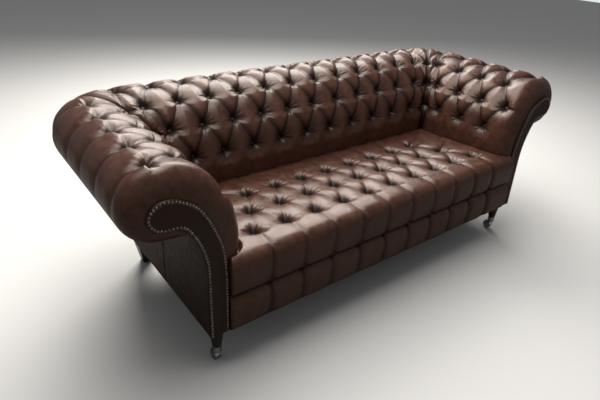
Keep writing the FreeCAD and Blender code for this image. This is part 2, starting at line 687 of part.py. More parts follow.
# Plan angles of the buttons where the back turns the corner; the rest face forwards
back_turns = {11: 70, 12: top_turn}
back_right = []
back_middle = []
for section_index, (place, pulled) in enumerate(back_sections[:-2]):
    for row, share in enumerate(pulled):
        if share == 1:
            solid = row_button(place, row, back_turns.get(section_index, 90))
            (back_right if section_index else back_middle).append(solid)
shaped("back_buttons", Part.makeCompound(back_middle + back_right + [mirrored(b) for b in back_right]))

arm_buttons = []
for section_index, (place, pulled, amount) in enumerate(arm_sections[:-2]):
    for row, share in enumerate(pulled):
        if share == 1 and section_index < 12:
            arm_buttons.append(row_button(place, row, 0))
arm_buttons.append(row_button(arm_sections[12][0], 2, 30, small=True))
arm_buttons.append(row_button(arm_sections[13][0], 3, first_turn, val("tight_lift")))
pair("arm_buttons", Part.makeCompound(arm_buttons))

# Seat cover: tufted top with a pleated front border
SEAT_DEPTH = val("seat_tuft_depth")
seat_pitch = val("seat_pitch")
row_y = [FRONT + val("front_row_setback") + index * val("seat_row_pitch") for index in range(3)]
row_z = [val("seat_height") - index * val("seat_fall") for index in range(3)]
BORDER_BACK = BOARD_Y + GAP
SEAM = val("seam_height")
UNDER = val("seat_under")
FOOT_Z = val("foot_height") - GAP - 0.2


def seat_wire(x, pulled, pleat, squeeze=0.0):
    """Section across the seat: border, button rows, level back edge."""
    ease = val("pleat_depth") * pleat
    top = val("seat_height")
    points = [(FRONT + 21, SEAM + GAP), (FRONT + 5 + ease, SEAM + 22), (FRONT + 3 + ease, SEAM + 50),
              (FRONT + 2.5 + ease, top - 45), (FRONT + 10 + ease, top - 21),
              (FRONT + 21 + ease, top - 8 - ease), (FRONT + 42, top - 1 - ease)]
    ends = list(zip(row_y, row_z))
    ends.append((CORNER_Y, FOOT_Z))
    share = [pleat * 0.25] + list(pulled) + [0.0]
    before = points[-1]
    for index, (y, z) in enumerate(ends):
        lift = 3.5 if index < 3 else 1.0
        level = (ends[index - 1][1] if index else top) / 2 + z / 2
        middle_z = level + lift - SEAT_DEPTH * 0.22 * (share[index] + share[index + 1])
        points.append(((before[0] + y) / 2, middle_z))
        points.append((y, z - SEAT_DEPTH * share[index + 1] if index < 3 else z))
        before = (y, z)
    if squeeze:
        points = [(y, min(z, FOOT_Z - 1.5 * squeeze + 0.004 * i)) for i, (y, z) in enumerate(points)]
    points = [V(x, y, z) for y, z in points]
    rear = BACK_ROLL_Y + SCROLL_INNER
    tail = [V(x, rear, FOOT_Z - 1.5 * squeeze), V(x, rear, UNDER), V(x, BORDER_BACK, UNDER),
            V(x, BORDER_BACK, SEAM + GAP)]
    run = [points[-1]] + tail + [points[0]]
    return Part.Wire(bows(points) + [line(a, b) for a, b in zip(run, run[1:])])


def seat_pull(step):
    """Rows drawn in at a half-pitch station."""
    near = abs(step)
    if near % 2:
        return (1 if near <= 9 else 0, 0, 1 if near <= 7 else 0)
    return (0, 1 if near <= 8 else 0, 0)


SEAT_END = ARM_ROLL_X + SCROLL_INNER - GAP
seat_wires = [seat_wire(-SEAT_END, (0, 0, 0), 0.5, 1.0), seat_wire(-CORNER_X + 1, (0, 0, 0), 0.5, 1.0)]
for step in range(-10, 11):
    seat_wires.append(seat_wire(step * seat_pitch / 2, seat_pull(step), 1 if step % 2 else 0))
seat_wires += [seat_wire(CORNER_X - 1, (0, 0, 0), 0.5, 1.0), seat_wire(SEAT_END, (0, 0, 0), 0.5, 1.0)]
shaped("seat_cover", Part.makeLoft(seat_wires, True, True))

seat_buttons = []
for step in range(-9, 10):
    for index, share in enumerate(seat_pull(step)):
        if share:
            place = V(step * seat_pitch / 2, row_y[index], row_z[index] - SEAT_DEPTH)
            seat_buttons.append(button(place, V(0, 0, 1), val("button_lift")))
shaped("seat_buttons", Part.makeCompound(seat_buttons))

# Lower front: eleven puffed panels between pleats
LOWER_END = SEAT_END


def lower_wire(x, pleat):
    ease = val("pleat_depth") * pleat
    low = BASE - 2
    points = [(FRONT + 20, low), (FRONT + 12 + ease, low + 14), (FRONT + 5 + ease, low + 42),
              (FRONT + 1 + ease, (low + SEAM) / 2 + 14), (FRONT + 3 + ease, SEAM - 22),
              (FRONT + 9 + ease, SEAM - 8), (FRONT + 21, SEAM - 1)]
    points = [V(x, y, z) for y, z in points]
    run = [points[-1], V(x, BOARD_Y - GAP, SEAM - 1), V(x, BOARD_Y - GAP, low), points[0]]
    return Part.Wire(bows(points) + [line(a, b) for a, b in zip(run, run[1:])])


lower_wires = [lower_wire(-LOWER_END, 1)]
lower_wires += [lower_wire(step * seat_pitch / 2, 1 if step % 2 else 0) for step in range(-10, 11)]
lower_wires.append(lower_wire(LOWER_END, 1))
shaped("lower_front_cover", Part.makeLoft(lower_wires, True, True))

# Outside panels: plain back, arms that flare out under the roll
PANEL = val("panel_thickness")
back_half = val("arm_panel_x") - PANEL - 1
outside_back = Part.makeBox(2 * back_half, PANEL, PANEL_TOP - BASE, V(-back_half, PANEL_FRONT, BASE))
NOTCH_X = CORNER_X + val("panel_notch_reach")
NOTCH_Y = CORNER_Y + val("panel_notch_reach")
NOTCH_Z = ROLL_Z - val("panel_notch_drop")
for side in (-1, 1):
    corner = Part.makeBox(200, 40, 80, V(side * (NOTCH_X + 100) - 100, PANEL_BACK - 20, NOTCH_Z))
    outside_back = outside_back.cut(corner)
shaped("outside_back_panel", outside_back)


def arm_panel():
    """Strip between two offsets of the scroll's outer edge, from the rail to the roll."""
    outer = scroll_points(0.5)[20:]
    inner = scroll_points(0.5 + PANEL)[20:]
    place = at_arm(BOARD_Y + GAP)
    low_outer = place(SCROLL_OUTER - 0.5, BASE - ROLL_Z)
    low_inner = place(SCROLL_OUTER - 0.5 - PANEL, BASE - ROLL_Z)
    outer = [place(*p) for p in outer]
    inner = [place(*p) for p in reversed(inner)]
    edges = bows(outer) + [line(outer[-1], low_outer), line(low_outer, low_inner), line(low_inner, inner[0])]
    edges += bows(inner) + [line(inner[-1], outer[0])]
    length = PANEL_BACK - BOARD_Y - GAP
    panel = Part.Face(Part.Wire(edges)).extrude(ALONG_Y * length)
    rear = Part.makeBox(200, 300, 80, V(ARM_ROLL_X - 150, NOTCH_Y, NOTCH_Z))
    above = Part.makeBox(200, 900, 80, V(ARM_ROLL_X - 150, FRONT, ROLL_Z - val("arm_panel_drop")))
    return panel.cut(rear).cut(above)


pair("outside_arm_panel", arm_panel())

# Webbing straps behind the padding
def strap(place, along):
    outer = scroll_points(val("board_inset"))[2:7]
    inner = scroll_points(val("board_inset") + val("web_thickness"))[2:7]
    outer = [place(*p) for p in outer]
    inner = [place(*p) for p in reversed(inner)]
    edges = bows(outer) + [line(outer[-1], inner[0])] + bows(inner) + [line(inner[-1], outer[0])]
    return Part.Face(Part.Wire(edges)).extrude(along * val("web_width"))


WEB = val("web_width")
board_gap = (CORNER_X + 6) / 3
back_straps = [strap(at_back(share * board_gap - WEB / 2), ALONG_X)
               for share in (-2.45, -1.55, -0.45, 0.45, 1.55, 2.45)]
shaped("back_webbing", Part.makeCompound(back_straps))
strap_start = BOARD_Y + THICK
strap_room = rear_board_y - strap_start
arm_straps = [strap(at_arm(strap_start + share * strap_room - WEB / 2), ALONG_Y) for share in (0.18, 0.5, 0.82)]
pair("arm_webbing", Part.makeCompound(arm_straps))

# Decorative nails round the facings
def nail_line():
    points = [at_arm(FACING_Y)(*p) for p in scroll_points(val("nail_inset"))]
    low = val("facing_bottom") + val("nail_radius") + 1 - ROLL_Z
    start = at_arm(FACING_Y)(SCROLL_INNER + val("nail_inset"), low)
    end = at_arm(FACING_Y)(SCROLL_OUTER - val("nail_inset"), low)
    return Part.Wire([line(start, points[0])] + bows(points) + [line(points[-1], end)])


def nail(place):
    """Domed head with a plain shank, pointing forwards."""
    radius = val("nail_radius")
    shank = val("shank_radius")
    outline = [line(V(0, 0, -val("shank_length")), V(shank, 0, -val("shank_length"))),
               line(V(shank, 0, -val("shank_length")), V(shank, 0, 0)), line(V(shank, 0, 0), V(radius, 0, 0)),
               cap(radius, val("nail_rise"), 0),
               line(V(0, 0, val("nail_rise")), V(0, 0, -val("shank_length")))]
    solid = Part.Face(Part.Wire(outline)).revolve(V(0, 0, 0), V(0, 0, 1), 360)
    solid.Placement = FreeCAD.Placement(place, FreeCAD.Rotation(V(0, 0, 1), V(0, -1, 0)))
    return solid


nails_wire = nail_line()
nail_count = int(round(nails_wire.Length / val("nail_pitch"))) + 1
pair("facing_nails", Part.makeCompound([nail(point) for point in nails_wire.discretize(Number=nail_count)]))


# Turned and square legs, castors
def turned(name, label, points, place):
    """A turned body: sketch of (radius, height) expressions revolved about its axis."""
    body = doc.addObject("PartDesign::Body", name)
    sketch = body.newObject("Sketcher::SketchObject", name + "_section")
    plane = [f for f in body.Origin.OriginFeatures if f.Role == "XZ_Plane"][0]
    sketch.AttachmentSupport = [(plane, "")]
    sketch.MapMode = "FlatFace"
    count = len(points)
    spots = [V(10 + 3 * math.cos(2 * math.pi * i / count), 10 + 3 * math.sin(2 * math.pi * i / count), 0)
             for i in range(count)]
    for i in range(count):
        sketch.addGeometry(Part.LineSegment(spots[i], spots[(i + 1) % count]), False)
    for i in range(count):
        sketch.addConstraint(Sketcher.Constraint("Coincident", i, 2, (i + 1) % count, 1))
    for i, (radius, height) in enumerate(points):
        if radius == "0":
            sketch.addConstraint(Sketcher.Constraint("PointOnObject", i, 1, -2))
        else:
            sketch.addConstraint(Sketcher.Constraint("DistanceX", -1, 1, i, 1, spots[i].x))
            sketch.setExpression("Constraints[%d]" % (sketch.ConstraintCount - 1), radius)
        sketch.addConstraint(Sketcher.Constraint("DistanceY", -1, 1, i, 1, spots[i].y))
        sketch.setExpression("Constraints[%d]" % (sketch.ConstraintCount - 1), height)
    turning = body.newObject("PartDesign::Revolution", name + "_turning")
    turning.Profile = sketch
    turning.ReferenceAxis = (sketch, ["V_Axis"])
    turning.Angle = 360
    bind(body, Placement__Base__x=place[0], Placement__Base__y=place[1], Placement__Base__z=place[2])
    return keep(body, label)


crown_top = "(2 * sizes.wheel_radius + sizes.wheel_gap + sizes.fork_plate)"
cup_bottom = "(%s + sizes.swivel_gap)" % crown_top
leg_end = "(%s + sizes.cup_floor)" % cup_bottom
cup_top = "(%s + sizes.cup_height)" % cup_bottom
bore_top = "(%s + sizes.stem_length + 2)" % leg_end
bolt_low = "(sizes.base_height - sizes.bolt_length - 1)"
end_radius = "sizes.leg_end_radius"
LEG = [("sizes.stem_radius + sizes.fit_gap", leg_end), (end_radius, leg_end), (end_radius, cup_top),
       (end_radius + " + 2", cup_top + " + 3"), ("sizes.leg_top_radius - 3", "sizes.base_height - 13"),
       ("sizes.leg_top_radius - 3", "sizes.base_height - 10"), ("sizes.leg_top_radius", "sizes.base_height - 7"),
       ("sizes.leg_top_radius", "sizes.base_height"), ("sizes.bolt_radius + sizes.fit_gap", "sizes.base_height"),
       ("sizes.bolt_radius + sizes.fit_gap", bolt_low), ("0", bolt_low), ("0", bore_top),
       ("sizes.stem_radius + sizes.fit_gap", bore_top)]
cup_inner = "(sizes.leg_end_radius + sizes.fit_gap)"
CUP = [("sizes.stem_radius + sizes.fit_gap", cup_bottom), (cup_inner + " + sizes.cup_wall - 1", cup_bottom),
       (cup_inner + " + sizes.cup_wall", cup_bottom + " + 1"), (cup_inner + " + sizes.cup_wall", cup_top),
       (cup_inner, cup_top), (cup_inner, leg_end), ("sizes.stem_radius + sizes.fit_gap", leg_end)]
for side, sign in (("left", "-"), ("right", "")):
    place = (sign + leg_place[0], leg_place[1], "0")
    turned(side + "_front_leg", side + "_front_leg", LEG, place)
    turned(side + "_castor_cup", side + "_castor_cup", CUP, place)

    x_axis = sign + leg_place[0]
    cheek = "(sizes.wheel_width / 2 + sizes.fork_side_gap)"
    width = "2 * (%s + sizes.fork_cheek)" % cheek
    axle_y = leg_place[1] + " + sizes.castor_trail"
    parts = [
        rod(side + "_stem", SIZES + "stem_radius", "sizes.fork_plate + sizes.swivel_gap + sizes.cup_floor + sizes.stem_length",
            (x_axis, leg_place[1], crown_top + " - sizes.fork_plate")),
        rod(side + "_crown_disc", cheek + " + sizes.fork_cheek", SIZES + "fork_plate",
            (x_axis, leg_place[1], crown_top + " - sizes.fork_plate")),
        bar(side + "_crown", (width, "sizes.castor_trail + 6", SIZES + "fork_plate"),
            ("%s - %s - sizes.fork_cheek" % (x_axis, cheek), leg_place[1], crown_top + " - sizes.fork_plate"))]
    for edge, low in (("inner", "%s - %s - sizes.fork_cheek" % (x_axis, cheek)), ("outer", "%s + %s" % (x_axis, cheek))):
        parts.append(bar(side + "_cheek_" + edge,
                         (SIZES + "fork_cheek", "sizes.castor_trail + 9", "sizes.wheel_radius + sizes.wheel_gap + 6.5"),
                         (low, leg_place[1] + " - 3", "sizes.wheel_radius - 6")))
    joined = doc.addObject("Part::MultiFuse", side + "_fork_blank")
    joined.Shapes = parts
    hole = doc.addObject("Part::Cylinder", side + "_axle_hole")
    axle = doc.addObject("Part::Cylinder", side + "_axle")
    for item in (hole, axle):
        item.Placement = FreeCAD.Placement(V(0, 0, 0), FreeCAD.Rotation(V(0, 0, 1), ALONG_X))
        bind(item, Radius=SIZES + "axle_radius", Height=width + " + 2",
             Placement__Base__x="%s - %s - sizes.fork_cheek - 1" % (x_axis, cheek),
             Placement__Base__y=axle_y, Placement__Base__z=SIZES + "wheel_radius")
    fork = doc.addObject("Part::Cut", side + "_castor_fork")
    fork.Base = joined
    fork.Tool = hole
    keep(fork, side + "_castor_fork")
    keep(axle, side + "_castor_axle")
    bore = "sizes.axle_radius + sizes.fit_gap"
    half = "sizes.wheel_width"
    wheel = turned(side + "_castor_wheel", side + "_castor_wheel",
                   [(bore, "1"), ("sizes.wheel_radius - 2", "1"), ("sizes.wheel_radius", "3"),
                    ("sizes.wheel_radius", half + " - 1"), ("sizes.wheel_radius - 2", half + " + 1"),
                    (bore, half + " + 1")],
                   ("%s - sizes.wheel_width / 2 - 1" % x_axis, axle_y, SIZES + "wheel_radius"))
    wheel.Placement.Rotation = FreeCAD.Rotation(V(0, 0, 1), ALONG_X)

leg_top = val("rear_leg_top")
leg_foot = val("rear_leg_foot")
top_x = val("arm_panel_x") - 3 - leg_top / 2
top_y = PANEL_BACK - leg_top / 2


def square(x, y, z, side):
    half = side / 2
    corners = [V(x - half, y - half, z), V(x + half, y - half, z), V(x + half, y + half, z), V(x - half, y + half, z)]
    return Part.makePolygon(corners + corners[:1])


rear_leg = Part.makeLoft([square(top_x, top_y, BASE, leg_top),
                          square(top_x - val("rear_leg_splay"), top_y + val("rear_leg_rake"), 0, leg_foot)],
                         True, True)
pair("rear_leg", rear_leg)

# Check and export
doc.recompute()
for obj in doc.Objects:
    if "Invalid" in obj.State or "Error" in obj.State:
        raise RuntimeError("%s is %s" % (obj.Label, obj.State))
os.makedirs("parts", exist_ok=True)
for obj in nodes:
    shape = obj.Shape
    if shape.isNull() or not shape.isValid():
        raise RuntimeError("bad shape: " + obj.Label)
    if shape.Volume <= 0:
        raise RuntimeError("inside out: " + obj.Label)
    shape.exportStep("parts/%s.step" % obj.Label)
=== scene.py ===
import bpy
import bmesh
import math
import numpy as np
from mathutils import Matrix, Vector


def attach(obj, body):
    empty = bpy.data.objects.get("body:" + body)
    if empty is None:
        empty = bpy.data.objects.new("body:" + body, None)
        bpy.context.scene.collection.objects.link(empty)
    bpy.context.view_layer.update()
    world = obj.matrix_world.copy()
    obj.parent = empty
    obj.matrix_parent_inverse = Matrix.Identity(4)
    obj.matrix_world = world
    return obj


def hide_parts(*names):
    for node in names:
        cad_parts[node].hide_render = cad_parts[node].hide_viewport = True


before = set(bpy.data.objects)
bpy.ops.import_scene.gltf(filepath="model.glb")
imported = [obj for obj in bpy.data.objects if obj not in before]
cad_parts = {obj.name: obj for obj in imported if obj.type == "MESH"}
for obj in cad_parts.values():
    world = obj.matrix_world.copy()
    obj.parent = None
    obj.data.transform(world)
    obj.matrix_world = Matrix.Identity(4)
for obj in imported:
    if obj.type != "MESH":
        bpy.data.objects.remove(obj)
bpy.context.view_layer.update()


# Tufted back. One padded roll from the seat over the crest to the outside back,
# leather drawn down to four staggered rows of buttons and folded into diamonds
# between them. It meets each arm in a mitre.
ARM_ROLL_X = 0.901
BACK_ROLL_Y = 0.312
ROLL_Z = 0.621
FOOT_REACH = 0.242  # middle of the roll to the foot of the padding
CORNER_X = ARM_ROLL_X - FOOT_REACH
CORNER_Y = BACK_ROLL_Y - FOOT_REACH
FOOT_UP = -0.232
BACK_PITCH = 0.1285
CORNER_ROUND = 0.6  # share of the corner's run that is rounded
BEND = 1.25  # station where a corner starts to turn; the mitre is at 2
TANGENT = 0.004
CROWN_RUN = [
    (-0.238, FOOT_UP), (-0.2415, -0.198), (-0.2425, -0.165), (-0.2405, -0.138), (-0.235, -0.110),
    (-0.219, -0.054), (-0.187, -0.002), (-0.152, 0.046), (-0.106, 0.083), (-0.050, 0.106),
    (0.009, 0.114), (0.048, 0.1015), (0.0792, 0.0792), (0.1035, 0.0429), (0.112, 0.0),
    (0.1035, -0.0429), (0.0792, -0.0792), (0.0429, -0.1035), (0.0, -0.112), (-0.036, -0.106),
    (-0.066, -0.0905)]
HIDDEN_RUN = np.array([
    (-0.064, -0.075), (-0.030, -0.060), (0.020, -0.052), (0.044, -0.030), (0.040, 0.005), (0.0, 0.024),
    (-0.050, 0.010), (-0.100, -0.030), (-0.140, -0.105), (-0.162, -0.170), (-0.170, FOOT_UP)])
ROW_INDEX = (4, 6, 8, 10)  # points of the crown that carry the button rows


def smooth_run(points, per_piece=24):
    """Points on the smooth curve through a list of points, and the places of those points on it."""
    pts = np.array([points[0]] + list(points) + [points[-1]])
    out = []
    for k in range(1, len(pts) - 2):
        a, b, c, d = pts[k - 1], pts[k], pts[k + 1], pts[k + 2]
        for t in np.arange(per_piece) / per_piece:
            out.append(0.5 * (2 * b + (c - a) * t + (2 * a - 5 * b + 4 * c - d) * t * t
                              + (3 * b - a - 3 * c + d) * t ** 3))
    out.append(pts[-2])
    out = np.array(out)
    length = np.concatenate([[0], np.cumsum(np.linalg.norm(np.diff(out, axis=0), axis=1))])
    return out, length, length[::per_piece]


def on_line(points, length, s):
    """Section point and outward normal at a distance along a smooth line."""
    s = np.asarray(s, float)
    point, ahead, behind = [np.stack([np.interp(s + move, length, points[:, k]) for k in (0, 1)], -1)
                            for move in (0, TANGENT, -TANGENT)]
    along = ahead - behind
    along /= np.linalg.norm(along, axis=-1, keepdims=True)
    return point, np.stack([-along[..., 1], along[..., 0]], -1)


crown, crown_length, crown_knots = smooth_run(CROWN_RUN)
ROW_S = [crown_knots[k] for k in ROW_INDEX]


def on_crown(s):
    return on_line(crown, crown_length, s)


def turn_of(share):
    """Station in the corner fan for a section that has run sideways by that share."""
    if share <= 1 - CORNER_ROUND:
        return 1 + (BEND - 1) * share / (1 - CORNER_ROUND)
    return BEND + (2 - BEND) * math.degrees(math.asin((share - 1 + CORNER_ROUND) / CORNER_ROUND)) / 45


def bend(turned):
    """Run and facing of the rounded part of a corner at a plan angle."""
    across, out = math.cos(turned), math.sin(turned)
    return (1 - CORNER_ROUND + CORNER_ROUND * across, 1 - CORNER_ROUND + CORNER_ROUND * out), (across, out)


def back_station(t):
    """Origin, outward run and facing of the back's section: -1 to 1 straight, corners on to -2 and 2."""
    side, t = (1 if t >= 0 else -1), abs(t)
    if t <= 1:
        return (side * t * CORNER_X, CORNER_Y), (0.0, 1.0), (0.0, 1.0)
    corner = (side * CORNER_X, CORNER_Y)
    if t <= BEND:
        return corner, (side * (t - 1) / (BEND - 1) * (1 - CORNER_ROUND), 1.0), (0.0, 1.0)
    run, facing = bend(math.radians(90 - (t - BEND) / (2 - BEND) * 45))
    return corner, (side * run[0], run[1]), (side * facing[0], facing[1])


def place_run(station, points, normals):
    """Section points and normals set out in space at one station."""
    origin, run, facing = station
    away = points[:, 0] + FOOT_REACH
    spot = np.stack([origin[0] + away * run[0], origin[1] + away * run[1], ROLL_Z + points[:, 1]], -1)
    out = np.stack([normals[:, 0] * facing[0], normals[:, 0] * facing[1], normals[:, 1]], -1)
    return spot, out


def fold_line(station_of, start, end, steps=6, dome=None):
    """Points on the crowns from one (station, distance) to another, for a fold between buttons."""
    spots = []
    for share in np.linspace(0, 1, steps + 1):
        t = start[0] + (end[0] - start[0]) * share
        s = np.array([start[1] + (end[1] - start[1]) * share])
        point, normal = on_crown(s)
        if dome:
            point = dome(t, s, point)
        spots.append(place_run(station_of(t), point, normal)[0][0])
    return np.array(spots)


TUFT = 0.031  # depth of the back and arm buttons under the crowns
PIT = 0.011  # dimple round a button
PIT_ACROSS, PIT_UP, PIT_REACH = 0.012, 0.018, 0.06
PUCKERS, PUCKER_AT, PUCKER_SPREAD = 11, 0.024, 0.012
# the second value is painted shade laid in the grooves of the puckers
PUCKER_HEIGHT, PUCKER_SHADE = 0.0010, 0.004
LAP = 0.004
# width of the painted shade line along the bottom of each fold
CREASE_SHADE_WIDTH = 0.0021


def pull_of(places, folds, tufts, over):
    """How far each place is drawn in, and how much painted shade it gets at the bottom of a fold, in a pit and
    in the grooves of its puckers.
    A fold is (points, depth at start, depth in the middle, depth at end, width); it is
    steeper on the side that over points to, where the leather laps over the pleat. A tuft
    is (place, outward direction, direction up the section) with a dimple and puckers."""
    pull = np.zeros(len(places))
    crease_shade = np.zeros(len(places))
    over = np.array(over)
    for points, first, middle, last, width in folds:
        low, high = points.min(0) - width * 1.15, points.max(0) + width * 1.15
        near = np.where(np.all((places >= low) & (places <= high), axis=1))[0]
        if not len(near):
            continue
        local = places[near]
        best = np.full(len(near), 9.0)
        share = np.zeros(len(near))
        side = np.zeros(len(near))
        for k in range(len(points) - 1):
            a, b = points[k], points[k + 1]
            part = np.clip((local - a) @ (b - a) / ((b - a) @ (b - a)), 0, 1)
            away = local - a - part[:, None] * (b - a)
            gap = np.linalg.norm(away, axis=1)
            closer = gap < best
            best[closer] = gap[closer]
            side[closer] = (away @ over)[closer]
            share[closer] = (k + part[closer]) / (len(points) - 1)
        depth = np.where(share < 0.5, middle + (first - middle) * np.abs(1 - 2 * share) ** 2.8,
                         middle + (last - middle) * np.abs(2 * share - 1) ** 2.8)
        lap = np.clip(side / LAP, -1, 1)
        reach = width * (0.95 - 0.2 * lap)
        drawn = depth * np.clip(1 - best / reach, 0, 1) ** (2.1 + 0.5 * lap)
        pull[near] = np.maximum(pull[near], drawn)
        # painted shade: a dark line along the bottom of each fold
        crease_shade[near] = np.maximum(crease_shade[near], np.exp(-best / CREASE_SHADE_WIDTH) * np.minimum(depth * 2.0, TUFT))
    for number, (spot, out, up) in enumerate(tufts):
        near = np.where(np.linalg.norm(places - spot, axis=1) < PIT_REACH)[0]
        local = places[near] - spot
        across = np.cross(up, out)
        u, v = local @ across, local @ up
        gap = np.hypot(u, v)
        pit = np.exp(-(u / PIT_ACROSS) ** 2 - (v / PIT_UP) ** 2)
        ripple = np.sin(np.arctan2(v, u) * PUCKERS + number * 1.7)
        ripple = ripple * np.exp(-((gap - PUCKER_AT) / PUCKER_SPREAD) ** 2)
        pull[near] += PIT * pit + PUCKER_HEIGHT * ripple
        # painted shade in each pit and in the grooves of its puckers
        crease_shade[near] = np.maximum(crease_shade[near], pit * TUFT)
        crease_shade[near] += np.maximum(ripple, 0) * PUCKER_SHADE
    return pull, crease_shade


def back_place(row, step):
    """Station and distance of a button in a row of the back, by its step in pitches."""
    along = abs(step) * BACK_PITCH
    if along <= CORNER_X:
        t = along / CORNER_X
    else:
        reach = on_crown(np.array([ROW_S[row]]))[0][0][0] + FOOT_REACH
        t = turn_of((along - CORNER_X) / reach)
    return (t if step >= 0 else -t, ROW_S[row])


def back_fold(start, end, steps=6):
    return fold_line(back_station, start, end, steps)


# depths of each kind of fold at its start, middle and end, and its width
NARROW = 0.045
DIAMOND = (TUFT, 0.0125, TUFT, 0.062)
MITRE = (TUFT, 0.018, TUFT, NARROW)
MITRE_TOP = (TUFT, 0.010, 0.006, NARROW)
MITRE_FOOT = (TUFT, 0.012, 0.010, 0.040)
BACK_CREST = (TUFT, 0.006, 0.0, NARROW)
FOOT_PLEAT = (TUFT, 0.004, 0.0005, NARROW)
CREST_TAIL, FOOT_TAIL, MITRE_TAIL = 0.150, 0.105, 0.33


def mitre_folds(fold_of, ends, corner):
    """The folds from the last buttons of three rows into a corner's mitre, and the mitre's own."""
    mitres = [(corner, s) for s in ROW_S]
    made = [(fold_of(end, mitre), *DIAMOND) for end, mitre in zip(ends, mitres)]
    made += [(fold_of(mitres[k], mitres[k + 1]), *MITRE) for k in (0, 1)]
    made.append((fold_of(mitres[2], (corner, ROW_S[3] + MITRE_TAIL), 12), *MITRE_TOP))
    made.append((fold_of(mitres[0], (corner, 0.0)), *MITRE_FOOT))
    return made


BACK_STEPS = [np.arange(-4.5, 5), np.arange(-5, 6), np.arange(-5.5, 6), np.arange(-6, 7)]
back_folds = []
for row in range(3):
    for step in BACK_STEPS[row]:
        for other in (step - 0.5, step + 0.5):
            back_folds.append((back_fold(back_place(row, step), back_place(row + 1, other)), *DIAMOND))
for side in (-1, 1):
    ends = [back_place(row, side * step) for row, step in ((1, 5), (2, 5.5), (3, 6))]
    back_folds += mitre_folds(back_fold, ends, side * 2.0)
for step in BACK_STEPS[3]:
    t, s = back_place(3, step)
    back_folds.append((back_fold((t, s), (t, s + CREST_TAIL), 8), *BACK_CREST))
for step in BACK_STEPS[0]:
    t, s = back_place(0, step)
    back_folds.append((back_fold((t, s), (t, s - FOOT_TAIL)), *FOOT_PLEAT))


def tuft_at(station, s):
    """Place on the crowns, outward direction and direction up the section of one button."""
    point, normal = on_crown(np.array([s - 0.002, s, s + 0.002]))
    spot, out = place_run(station, point, normal)
    up = spot[2] - spot[0]
    return spot[1], out[1], up / np.linalg.norm(up)


back_tufts = [tuft_at(back_station(back_place(row, step)[0]), ROW_S[row])
              for row in range(4) for step in BACK_STEPS[row]]
back_pits = back_tufts + [tuft_at(back_station(side * 2.0), ROW_S[row]) for side in (-1, 1) for row in (1, 2)]


def piece_from(bm, name):
    """Puts a finished bmesh in the scene as one object."""
    mesh = bpy.data.meshes.new(name)
    bm.to_mesh(mesh)
    bm.free()
    piece = bpy.data.objects.new(name, mesh)
    bpy.context.collection.objects.link(piece)
    return piece


def close_shell(name, spots, outs, folds, tufts, over, ceiling=None):
    """A closed padded piece: a grid laid on its sections and drawn in by its folds, with
    both ends closed. Keeps the pull and the painted shade of creases and pits as attributes."""
    stations, around = spots.shape[:2]
    spots, outs = spots.reshape(-1, 3), outs.reshape(-1, 3)
    pull, crease_shade = pull_of(spots, folds, tufts, over)
    shown = np.linalg.norm(outs, axis=1) > 0
    pull, crease_shade = np.where(shown, pull, 0), np.where(shown, crease_shade, 0)
    moved = spots - outs * pull[:, None]
    if ceiling is not None:
        moved[:, 2] = np.minimum(moved[:, 2], ceiling(np.abs(moved[:, 0]), moved[:, 1]))
    bm = bmesh.new()
    bmesh.ops.create_grid(bm, x_segments=around - 1, y_segments=stations - 1, size=1)
    pull_layer = bm.verts.layers.float.new("pull")
    crease_shade_layer = bm.verts.layers.float.new("crease_shade")
    for vert, spot, drawn, dark in zip(bm.verts, moved, pull, crease_shade):
        vert.co = spot
        vert[pull_layer] = drawn / TUFT
        # the painted shade of creases and pits, for the leather's colour
        vert[crease_shade_layer] = min(dark / TUFT, 1)
    bmesh.ops.remove_doubles(bm, verts=bm.verts, dist=0.00005)
    bmesh.ops.holes_fill(bm, edges=[e for e in bm.edges if e.is_boundary], sides=0)
    bmesh.ops.recalc_face_normals(bm, faces=bm.faces)
    for face in bm.faces:
        face.smooth = True
    return piece_from(bm, name)


STEP = 0.0034
s_values = np.linspace(0, crown_length[-1], int(crown_length[-1] / STEP))


def roll_shell(name, station_of, ts, folds, tufts, over, dome=None):
    """A tufted roll: the padding section and its hidden side, set out at each station."""
    points, normals = on_crown(s_values)
    spots, outs = [], []
    for t in ts:
        shaped = dome(t, s_values, points) if dome else points
        spot, out = place_run(station_of(t), shaped, normals)
        inner, _ = place_run(station_of(t), HIDDEN_RUN, HIDDEN_RUN * 0)
        spots.append(np.vstack([spot, inner, spot[:1]]))
        outs.append(np.vstack([out, inner * 0, out[:1] * 0]))
    return close_shell(name, np.array(spots), np.array(outs), folds, tufts, over)


# Leather: wax-finished brown hide. The crowns are paler and smoother, paler partly from wear
# and partly as a painted highlight, the folds and pits are darkened with painted shade, and a fine grain and
# soft wrinkles run all over.
def new_group(name, inputs, outputs):
    """An empty shader group with named sockets, and its input and output nodes."""
    group = bpy.data.node_groups.new(name, "ShaderNodeTree")
    for label, kind, value in inputs:
        socket = group.interface.new_socket(name=label, in_out="INPUT", socket_type=kind)
        socket.default_value = value
    for label, kind in outputs:
        group.interface.new_socket(name=label, in_out="OUTPUT", socket_type=kind)
    return group, group.nodes.new("NodeGroupInput"), group.nodes.new("NodeGroupOutput")


COLOR, FLOAT, VECTOR = "NodeSocketColor", "NodeSocketFloat", "NodeSocketVector"
hide_group, g_in, g_out = new_group(
    "waxed hide",
    [("Body", COLOR, (0.1, 0.04, 0.03, 1)), ("WornSheen", COLOR, (0.2, 0.1, 0.08, 1)),
     ("CreaseShade", COLOR, (0.02, 0.01, 0.01, 1)), ("WearSheen", FLOAT, 1.0), ("Gloss", FLOAT, 0.34),
     ("Wrinkle", FLOAT, 1.0)],
    [("Color", COLOR), ("Roughness", FLOAT), ("Normal", VECTOR)])


